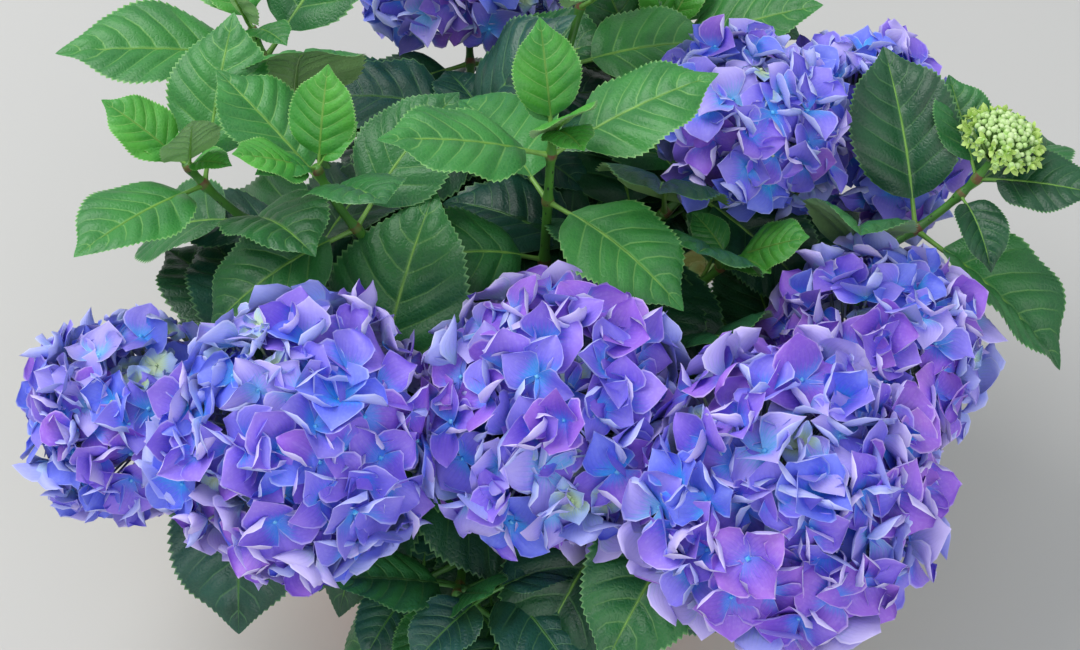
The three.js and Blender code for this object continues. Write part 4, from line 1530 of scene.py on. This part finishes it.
@dataclass
class SideTwigs:
    """Short twigs in the axils of the leaves and lower on the stems, each with a pair of smaller leaves,
    that fill the crown between its shoots. The leafy shoots also open a last small pair at their tips."""

    lengths: tuple[float, ...] = (26.0, 38.0, 50.0)
    turns: tuple[float, ...] = (0.0, 40.0, -40.0, 80.0, -80.0)
    lifts: tuple[float, ...] = (15.0, -8.0, 40.0, 65.0)
    low_feet: tuple[float, ...] = (0.25, 0.6, 0.9)
    sizes: tuple[float, ...] = (0.84, 0.56)
    clear: float = 7.0
    clear_of_heads: float = 6.0
    highest: float = 312.0
    young_size: float = 0.33
    low_tip: float = 250.0
    low_place: float = 0.37
    low_spread: float = 16.0
    low_size: float = 0.92
    edge: float = 3.0
    rim_height: float = 212.0
    rim_radius: float = 146.0
    lowest: float = 140.0

    def grow(
        self, shoots: list[Shoot], leaves: list[Leaves], skins: list[HeadSkin]
    ) -> tuple[list[Leaves], list[Array]]:
        """Tries a twig above every leaf and three at each low foot, and keeps the first of its shapes that
        stays clear of all else.

        Args:
            shoots: All shoots.
            leaves: Each shoot's leaves.
            skins: The flower heads' outlines.

        Returns:
            Each shoot's leaves with the new ones added, and the paths of the twigs.
        """
        taken = [self._probe(some) for some in leaves]
        taken += [shoot.at(np.linspace(0, 1, 40)) for shoot in shoots]
        grown, paths = [], []
        for number, (shoot, some) in enumerate(zip(shoots, leaves)):
            rng = np.random.default_rng(900 + number)
            lots = [some]
            if shoot.bloom is Bloom.NONE:
                lots.append(self._young_pair(shoot, rng))
            feet = [(some.root[leaf], some.bearing[leaf]) for leaf in range(len(some.length))]
            feet += [(shoot.at(shoot.bare * share), way) for share in self.low_feet for way in (0, 120, 240)]
            for foot, bearing in feet:
                made = self._try_twig(shoot, foot, bearing, np.concatenate(taken), skins, rng)
                if made:
                    lots.append(made[0])
                    paths.append(made[1])
                    taken += [self._probe(made[0]), made[1]]
            grown.append(end_to_end(lots))
        log.info("%d side twigs", len(paths))
        return grown, paths

    def _probe(self, some: Leaves) -> Array:
        """A few points on each leaf."""
        s, side = (grid.ravel() for grid in np.meshgrid([0.08, 0.3, 0.55, 0.8, 1.0], [-0.25, 0.0, 0.25]))
        s = np.broadcast_to(s, (len(some.length), len(s)))
        return some.place(s, side * some.length[:, None] * (s < 0.99), 0 * s).reshape(-1, 3)

    def _young_pair(self, shoot: Shoot, rng: Draws) -> Leaves:
        """Two small steep leaves that open crosswise to the topmost pair. A low shoot has two larger ones
        further down instead, that hang over the pot's rim."""
        heading = math.degrees(math.atan2(shoot.lean[1], shoot.lean[0]))
        if shoot.tip[2] < self.low_tip:
            root, length = shoot.at(self.low_place), shoot.leaf * self.low_size
            rows = [(*root, heading + side * self.low_spread, -8, 30, 0, length, 3) for side in (-1, 1)]
            return _as_leaves(np.array(rows))
        root, bearing = shoot.at(1.0) - shoot.axis * 2, shoot.turn + 90 + heading
        rows = [
            (*root, bearing + 180 * side + rng.uniform(-12, 12), rng.uniform(34, 52), 40,
             rng.uniform(-10, 10), shoot.leaf * self.young_size * (1 + 0.25 * side), YOUNG_PAIR)
            for side in (0, 1)
        ]
        return _as_leaves(np.array(rows))

    def _try_twig(
        self, shoot: Shoot, foot: Array, way_out: float, taken: Array, skins: list[HeadSkin], rng: Draws
    ) -> tuple[Leaves, Array] | None:
        """Looks for room for one twig.

        Args:
            shoot: The shoot that it grows on.
            foot: Where it stands.
            way_out: The bearing that is tried first.
            taken: Points that it keeps clear of.
            skins: The flower heads' outlines.
            rng: Seeded numbers for its leaves' roll and droop.

        Returns:
            Its pair of leaves and its path, or nothing where there is no room.
        """
        roll, droop = rng.uniform(-12, 12, 2), rng.uniform(30, 46, 2)
        taken = taken[np.linalg.norm(taken - foot, axis=1) < self.lengths[-1] + shoot.leaf * 1.2]
        for size, length, lift, turn in product(self.sizes, self.lengths, self.lifts, self.turns):
            bearing = way_out + turn
            path = foot + _tilted(level_way(bearing), lift) * np.linspace(0, length, 5)[:, None]
            pair = _as_leaves(np.array([
                (*path[-1], bearing + way * 78, 14, droop[i], roll[i], shoot.leaf * size, TWIG_PAIR)
                for i, way in enumerate((-1, 1))
            ]))
            points = np.concatenate([self._probe(pair), path[2:]])
            if self._has_room(points, taken, skins):
                return pair, path
        return None

    def _has_room(self, points: Array, taken: Array, skins: list[HeadSkin]) -> bool:
        """Whether points stay in the model's box, over or outside the pot's rim, and off all else."""
        low, high = (np.array(corner) / MM for corner in CAD_BOX)
        inside = (points > low + self.edge).all() and (points < high - self.edge).all()
        x, y, z = points.T
        in_pot = (z < self.rim_height) & (np.hypot(x, y) < self.rim_radius)
        if not inside or in_pot.any() or z.min() < self.lowest or z.max() > self.highest:
            return False
        for skin in skins:
            if np.linalg.norm(points - skin.middle, axis=1).min() < skin.radius + self.clear_of_heads:
                return False
        for some in (points[::6], points):
            if np.linalg.norm(some[:, None] - taken[None], axis=2).min() <= self.clear:
                return False
        return True


class HeadColour(Enum):
    """Which colours a head has most of: weights of the faces, in their order."""

    FRESH = (2.4, 2.8, 4.5, 4, 2.8, 1.2, 0.4)
    SKY = (0.9, 4, 5.5, 5, 1.6, 0.6, 0.2)
    BLUE = (0.9, 2.2, 4.5, 5, 3, 1.2, 0.4)
    MIXED = (0.6, 2.4, 2.0, 5, 5, 3.0, 1.0)
    VIOLET = (0.6, 2.2, 1.2, 4, 5, 4, 1.6)
    PURPLE = (0.3, 1.4, 0.8, 3, 5.5, 5.5, 2.0)

    def shares(self) -> Array:
        """The weights as shares of one."""
        weights = np.array(self.value, float)
        return weights / weights.sum()


HEAD_COLOURS = {
    "front_left": HeadColour.FRESH,
    "front_midleft": HeadColour.MIXED,
    "front_middle": HeadColour.VIOLET,
    "front_midright": HeadColour.PURPLE,
    "front_right": HeadColour.VIOLET,
    "back_right_inner": HeadColour.SKY,
    "back_right_outer": HeadColour.BLUE,
    "back": HeadColour.MIXED,
}


@dataclass
class Florets:
    """The florets of one head: their middles, the ways they face, their sizes, and their colours as
    numbers in the faces."""

    middle: Array
    facing: Array
    size: Array
    colour: Array


@dataclass
class FlowerHead:
    """One mophead of florets with four sepals each, in two opposite pairs round a small blue eye."""

    area_for_floret: float = 620.0
    usual_radius: float = 84.0
    sepal_length: float = 27.5
    sepal_width: float = 33.5
    rows: tuple[float, ...] = (0.0, 0.14, 0.3, 0.46, 0.62, 0.77, 0.9, 1.0)
    outline: tuple[float, ...] = (0.14, 0.52, 0.88, 1.0, 0.91, 0.61, 0.23, 0.0)
    strips: tuple[float, ...] = (0.42, 0.36, 0.22)
    thickness: float = 0.45
    tilt: float = 31.0
    inset: float = 9.0
    deep_share: float = 0.25
    deep: float = 13.0
    unripe_share: float = 0.25
    unripe_size: float = 0.56
    rolled_share: float = 0.5
    stray_share: float = 0.12
    pair_step: float = 0.9
    eye: float = 1.7
    eye_height: float = 1.5
    # Each rim colour is partly the sepal's own paler edge and partly a painted highlight on the thin edge.
    faces: tuple[Finish, ...] = (
        Petal("petal_unripe_green", reach=0.7, face="a6cbd6", outer="9cb2e8", throat="c8deac", rim="cdd6f6"),
        Petal("petal_pale_lilac", face="9c92f0", outer="b8abf4", throat="78c0f4", rim="e0dafd"),
        Petal("petal_blue", reach=0.45, face="5c6cea", outer="7480f0", throat="38a4f2", rim="b8c2fb"),
        Petal("petal_periwinkle", reach=0.45, face="7872ea", outer="9082ee", throat="489ef2", rim="cbc8fc"),
        Petal("petal_violet", reach=0.45, face="7a62e2", outer="9676e8", throat="4e92f0", rim="d0c4fb"),
        Petal("petal_purple", reach=0.4, face="845eda", outer="9f6ae0", throat="5a8cf0", rim="dcc4f8"),
        Petal("petal_pinkish", reach=0.4, face="8664e0", outer="a872de", throat="648aec", rim="e4caf4"),
    )
    # Each rim colour is partly the sepal's own paler edge and partly a painted highlight on the thin edge.
    backs: tuple[Finish, ...] = (
        Petal("petal_back_blue", 0.6, face="a8b2f8", outer="b4b8fa", throat="b0d0f2", rim="d8dcff"),
        Petal("petal_back_lilac", 0.6, face="beb2f8", outer="ccbef8", throat="bccef4", rim="e6defe"),
    )
    eyes: tuple[Finish, ...] = (
        Mottled("eye_blue", 0.4, 0.1, 0.1, first="4cb4f2", second="8fd6f6", scale=400.0),
        Mottled("eye_cream", 0.5, 0.1, 0.1, first="d3e2b4", second="b8d49a", scale=400.0),
    )

    def build(self, shoot: Shoot, skin: HeadSkin, seed: int, lean: HeadColour) -> tuple[Array, Array]:
        """Makes one head. A smaller head has smaller florets: their area goes with its radius. Some florets
        stand deeper, and a share of those are unripe: smaller, and in the first finish.

        Args:
            shoot: The shoot that carries it.
            skin: Its outline.
            seed: Seed of its draws.
            lean: Which colours it has most of.

        Returns:
            Feet and tops of the florets' own stalks.
        """
        rng = np.random.default_rng(500 + seed)
        area = 2 * math.pi * shoot.radius**2 * (1 - math.cos(math.radians(RULE.lowest)))
        share = shoot.radius / self.usual_radius
        ways = skin.directions(round(area / (self.area_for_floret * share)), RULE.lowest)
        ways = unit(ways + rng.normal(size=ways.shape) * 0.03)
        reach, normal = skin.reach(ways)
        count = len(ways)
        deep = rng.uniform(size=count) < self.deep_share
        down = self.inset + deep * self.deep + rng.uniform(-3, 3, count)
        middle = skin.middle + ways * (reach - down)[:, None]
        a, b = square_to(normal)
        by = np.tan(np.radians(self.tilt)) * rng.uniform(-1, 1, (2, count, 1))
        facing = unit(normal + a * by[0] + b * by[1])
        colours = self._patches(ways, lean, rng)
        colours = np.where(deep & (rng.uniform(size=count) < self.unripe_share), 0, colours)
        size = rng.uniform(0.84, 1.12, count) * np.where(colours == 0, self.unripe_size, 1.0)
        florets = Florets(middle, facing, size * math.sqrt(share), colours)
        parts = [self._sepals(skin, florets, rng), self._eyes(florets, rng)]
        finishes = (*self.faces, *self.backs, *self.eyes)
        piece = make_piece("florets_" + shoot.name, Surface.joined(parts), finishes)
        settle(piece, ["flower_head_" + shoot.name])
        return skin.feet(middle, 0.3, 0.28), middle - facing

    def _patches(self, ways: Array, lean: HeadColour, rng: Draws) -> Array:
        """Deals out the florets' colours in soft patches: the florets are ranked by four waves over the head
        and some noise, and the ranks are cut into the colours' shares."""
        waves = np.cos(ways @ rng.normal(0, 2.6, (3, 4)) + rng.uniform(0, 2 * math.pi, 4)).sum(1)
        rank = np.argsort(np.argsort(waves + rng.normal(0, 0.9, len(ways)))) / len(ways)
        return np.searchsorted(np.cumsum(lean.shares())[:-1], rank, side="right")

    def _sections(self, count: int, rng: Draws) -> Array:
        """The bent cross-sections of sepals. Going out from the midrib, each strip of the breadth stands at
        fold + arch times its place, and the outer strips at curl more, which comes in along the sepal and
        wavers. A share of the edges roll up, and the others curl a little, mostly down. Side and height are
        the running sums of the strips' cosines and sines.

        Args:
            count: How many sepals.
            rng: Seeded numbers for fold, arch and curl.

        Returns:
            Side, height and angle at each place, as (3, sepals, rows, columns), for a half breadth of one.
        """
        s, strips = np.array(self.rows)[:, None], np.array(self.strips)
        places = np.cumsum(strips) - strips / 2
        one = (count, 1, 1)
        fold, arch = rng.normal(7, 10, one), rng.normal(10, 18, one)
        halves = []
        for sign in (-1, 1):
            rolled = rng.uniform(size=one) < self.rolled_share
            curl = np.where(rolled, rng.uniform(40, 130, one), rng.uniform(-45, 15, one))
            waver = 1 + 0.5 * np.sin(2 * math.pi * (1.3 * s + rng.uniform(0, 1, one)))
            comes_in = smooth(s, 0.05, 0.45) * waver * (0.0, 0.3, 1.0)
            angle = np.radians(fold + arch * places + curl * comes_in)
            between = (angle[..., 1:] + angle[..., :-1]) / 2
            zero = np.zeros_like(angle[..., :1])
            half = np.stack([
                run_out(np.cos(angle) * strips) * sign,
                run_out(np.sin(angle) * strips),
                np.concatenate([zero, between, angle[..., -1:]], axis=2) * sign,
            ])
            halves.append(half if sign > 0 else half[..., :0:-1])
        return np.concatenate(halves, axis=3)

    def _sepals(self, skin: HeadSkin, florets: Florets, rng: Draws) -> Surface:
        """Four sepals for each floret.

        Along a sepal the midrib stands at lift + curl · s + flick over the last third, and its points are
        the running sums of the cosines and sines. The half breadth follows the outline, and the whole
        section turns about the midrib by twist · s. The lower side lies one thickness within.

        Args:
            skin: The head's outline, which keeps the sepals off its neighbours.
            florets: The head's florets.
            rng: Seeded numbers for all that varies.

        Returns:
            The closed sepals.
        """
        s, number, size = np.array(self.rows), len(florets.middle), florets.size[:, None]
        across = np.cumsum([0.0, *self.strips])
        across = np.concatenate([-across[:0:-1], across])
        count = number * 4
        turn = rng.uniform(0, 2 * math.pi, (number, 1)) + np.arange(4) * math.pi / 2
        radial, tangent, n = four_frames(florets.facing, turn + rng.normal(0, 0.1, turn.shape))
        cupped = rng.normal(23, 13, (number, 1)) + rng.normal(0, 13, (number, 4))
        lift = np.radians(cupped.reshape(-1, 1))
        curl, flick = np.radians(rng.normal([[-14], [-6]], [[25], [22]], (2, count)))[..., None]
        length = (size * rng.uniform(0.9, 1.12, (number, 4))).reshape(-1, 1) * self.sepal_length
        width = (size * rng.uniform(0.84, 1.1, (number, 4))).reshape(-1, 1, 1) * self.sepal_width
        steps, half_way = np.diff(s), (s[1:] + s[:-1]) / 2
        angle = lift + curl * half_way + flick * smooth(half_way, 0.6, 1.0)
        out, rise = run_out(np.cos(angle) * steps) * length, run_out(np.sin(angle) * steps) * length
        slope = (lift + curl * s + flick * smooth(s, 0.6, 1.0))[..., None]
        upright = n * np.cos(slope) - radial * np.sin(slope)
        twist = np.radians(rng.normal(0, 18, (count, 1, 1))) * s[:, None]
        sideways = tangent * np.cos(twist) + upright * np.sin(twist)
        upright = upright * np.cos(twist) - tangent * np.sin(twist)
        shift = rng.uniform(-0.09, 0.09, (count, 1)) * np.sin(math.pi * s)
        outline = np.interp((s + shift).ravel(), s, self.outline).reshape(count, -1, 1)
        half = width / 2 * outline
        side, height, bend = self._sections(count, rng)
        side, height = side * half, height * half
        height = height + np.tile([0.0, self.pair_step], number * 2)[:, None, None] * (1 - s[:, None])
        thin = self.thickness * (1 - across**4) * smooth(1 - s, -0.1, 0.3)[:, None]
        line = np.repeat(florets.middle, 4, axis=0)[:, None] + radial * out[..., None] + n * rise[..., None]
        both = []
        for depth in (0, thin):
            x, z = side + depth * np.sin(bend), height - depth * np.cos(bend)
            over = sideways[:, :, None] * x[..., None]
            points = line[:, :, None] + over + upright[:, :, None] * z[..., None]
            both.append(skin.kept_in(points, 0.4))
        face = np.repeat(florets.colour, 4)
        stray = (rng.uniform(size=count) < self.stray_share) & (face > 0)
        face = np.where(stray, rng.integers(2, 6, count), face)
        back = len(self.faces) + (face > 3)
        return Layout.blade(s, across).copies(np.stack(both, axis=1), np.stack([face, back], -1))

    def _eyes(self, florets: Florets, rng: Draws) -> Surface:
        """A small four-lobed bead in the middle of each floret: radius · (1 + 0.18 cos 4a).

        Args:
            florets: The head's florets.
            rng: Seeded numbers that vary the size and deal out the two finishes.

        Returns:
            The closed beads.
        """
        rows, columns = 4, 8
        lobes = 1 + 0.18 * np.cos(4 * around(columns))
        shape = round_bead(rows, columns) * np.stack([lobes, lobes, 0 * lobes + 0.9], -1)
        facing, count = florets.facing, len(florets.middle)
        radius = self.eye * np.sqrt(florets.size) * rng.uniform(0.85, 1.15, count)
        axes = np.stack([*square_to(facing), facing], 1)
        bead = (shape * radius[:, None, None, None]) @ axes[:, None]
        places = (florets.middle + facing * self.eye_height)[:, None, None] + bead
        cream = (florets.colour == 0) | (rng.uniform(size=count) < self.stray_share)
        return Layout.tube(rows, columns).copies(places, len(self.faces) + len(self.backs) + cream)


@dataclass
class BudHead:
    """The green head of unopened buds on the right: round beads, and small pointed sepals mostly round
    its edge."""

    beads: int = 150
    stars: int = 44
    flattening: float = 0.62
    lowest: float = 92.0
    bead: Finish = Mottled("bud_bead", 0.45, 0.1, 0.1, first="d8ecb0", second="bade88", scale=260.0)
    # Its rim colour is partly the sepal's own paler edge and partly a painted highlight on the thin edge.
    star: Finish = Petal(
        "bud_sepal", reach=0.45, face="b7d96a", outer="c2e07a", throat="a4cf5c", rim="d8ec9a"
    )

    def build(self, shoot: Shoot, skin: HeadSkin, seed: int) -> tuple[Array, Array]:
        """Makes the bud head.

        Args:
            shoot: The shoot that carries it.
            skin: Its outline, of which only the middle, axis and radius count.
            seed: Seed of its draws.

        Returns:
            Feet and tops of the buds' stalks.
        """
        rng = np.random.default_rng(500 + seed)
        ways = unit(skin.directions(self.beads, self.lowest) + rng.normal(size=(self.beads, 3)) * 0.05)
        along = ways @ skin.axis
        reach = skin.radius / np.sqrt(1 + along**2 * (1 / self.flattening**2 - 1))
        middle = skin.middle + ways * (reach - 3 + rng.uniform(-3.5, 1.5, self.beads))[:, None]
        size = rng.uniform(1.5, 2.7, self.beads)[:, None, None, None]
        balls = middle[:, None, None] + round_bead(6, 8) * size
        beads = Layout.tube(6, 8).copies(balls, np.zeros(self.beads, int))
        order = np.argsort(along + rng.uniform(-0.35, 0.35, self.beads))
        some = order[: self.stars]
        stars = self._stars(middle[some], ways[some], rng)
        piece = make_piece("buds_" + shoot.name, Surface.joined([beads, stars]), (self.bead, self.star))
        settle(piece, ["bud_head_" + shoot.name])
        return skin.feet(middle, 0.5, 0.25), middle

    def _stars(self, middle: Array, ways: Array, rng: Draws) -> Surface:
        """Four small pointed sepals round some buds, each a narrow cupped blade.

        Args:
            middle: The buds' middles.
            ways: The ways they face.
            rng: Seeded numbers for turn, length and lift.

        Returns:
            The closed sepals.
        """
        s, across = np.array([0.0, 0.25, 0.5, 0.75, 1.0]), np.array([-1.0, -0.4, 0.4, 1.0])
        count = len(middle) * 4
        turn = rng.uniform(0, 6.28, (len(middle), 1)) + np.arange(4) * math.pi / 2
        radial, tangent, n = four_frames(ways, turn)
        length = np.repeat(rng.uniform(5.0, 8.5, len(middle)), 4)[:, None, None]
        lift = np.radians(rng.uniform(20, 75, (count, 1, 1)))
        ahead, upright = radial * np.cos(lift) + n * np.sin(lift), n * np.cos(lift) - radial * np.sin(lift)
        line = np.repeat(middle, 4, axis=0)[:, None] + ahead * length * s[:, None]
        half = length * 0.36 * (1.9 * s**0.6 * (1 - s) ** 0.7 + 0.12 * (s == 0))[:, None]
        both = []
        for depth in (0.0, 0.4):
            rise = half * 0.3 * across**2 - depth * (1 - across**2)
            points = line[:, :, None] + tangent[:, :, None] * (across * half)[..., None]
            both.append(points + upright[:, :, None] * rise[..., None])
        return Layout.blade(s, across).copies(np.stack(both, axis=1), np.ones(count, int))


# The studio


@dataclass
class Studio:
    """A plain pale floor, soft light from above, and the camera at the photograph's angle."""

    target: tuple[float, float, float] = (0.020, -0.070, 0.340)
    elevation: float = 50.0
    distance: float = 1.462
    lens: float = 78.0
    sensor: float = 36.0
    floor_size: float = 12.0

    def build(self) -> None:
        """Adds floor, world, lights and camera."""
        self._floor()
        self._world()
        self._lamp("key_light", (-1.4, 0.6, 2.6), 2.2, 62.0)
        self._lamp("front_fill", (0.9, -2.4, 1.7), 2.4, 26.0)
        self._camera()
        log.info("studio ready")

    def _floor(self) -> None:
        """A flat square under the pot."""
        half = self.floor_size / 2
        mesh = bpy.data.meshes.new("studio_floor")
        corners = [(-half, -half, 0), (half, -half, 0), (half, half, 0), (-half, half, 0)]
        mesh.from_pydata(corners, [], [(0, 1, 2, 3)])
        floor = bpy.data.objects.new("studio_floor", mesh)
        made = bpy.data.materials.new("studio_floor_pale")
        made.use_nodes = True
        shader = made.node_tree.nodes["Principled BSDF"]
        shader.inputs["Base Color"].default_value = (*linear("c8c6c1"), 1.0)
        shader.inputs["Roughness"].default_value = 0.8
        mesh.materials.append(made)
        bpy.context.scene.collection.objects.link(floor)

    def _world(self) -> None:
        """An even, slightly cool sky."""
        world = bpy.data.worlds.new("studio_sky")
        world.use_nodes = True
        sky = world.node_tree.nodes["Background"]
        sky.inputs["Color"].default_value = (0.86, 0.92, 1.0, 1.0)
        sky.inputs["Strength"].default_value = 0.62
        bpy.context.scene.world = world

    def _lamp(self, name: str, place: tuple[float, float, float], size: float, power: float) -> None:
        """A square soft box that looks at the plant."""
        data = bpy.data.lights.new(name, "AREA")
        data.shape, data.size, data.energy = "SQUARE", size, power
        lamp = bpy.data.objects.new(name, data)
        lamp.location = place
        lamp.rotation_euler = (Vector(self.target) - Vector(place)).to_track_quat("-Z", "Y").to_euler()
        bpy.context.scene.collection.objects.link(lamp)

    def _camera(self) -> None:
        """Looks at the target from in front and above."""
        angle = math.radians(self.elevation)
        ahead = Vector((0.0, math.cos(angle), -math.sin(angle)))
        data = bpy.data.cameras.new("camera")
        data.lens, data.sensor_width = self.lens, self.sensor
        camera = bpy.data.objects.new("camera", data)
        camera.location = Vector(self.target) - ahead * self.distance
        camera.rotation_euler = ahead.to_track_quat("-Z", "Y").to_euler()
        bpy.context.scene.collection.objects.link(camera)
        bpy.context.scene.camera = camera


def main() -> None:
    """Builds the studio and the plant from the ground up."""
    logging.basicConfig(level=logging.INFO, format="%(message)s")
    bpy.context.scene.view_settings.view_transform = "Standard"
    Studio().build()
    pot = Pot()
    pot.build()
    Compost().build(pot)
    WoodyCanes().build()
    shoots = grow()
    leaves = [leaves_on(shoot, 101 + number) for number, shoot in enumerate(shoots)]
    blooming = [shoot for shoot in shoots if shoot.bloom is not Bloom.NONE]
    skins = [HeadSkin.among(shoot, blooming) for shoot in blooming]
    leaves, twigs = SideTwigs().grow(shoots, leaves, skins)
    Foliage().build(shoots, leaves)
    florets = []
    for number, (shoot, skin) in enumerate(zip(blooming, skins)):
        if shoot.bloom is Bloom.HEAD:
            florets.append(FlowerHead().build(shoot, skin, number, HEAD_COLOURS[shoot.name]))
        else:
            florets.append(BudHead().build(shoot, skin, number))
    GreenShoots().build(shoots, leaves, twigs, florets)


if __name__ == "__main__":
    main()
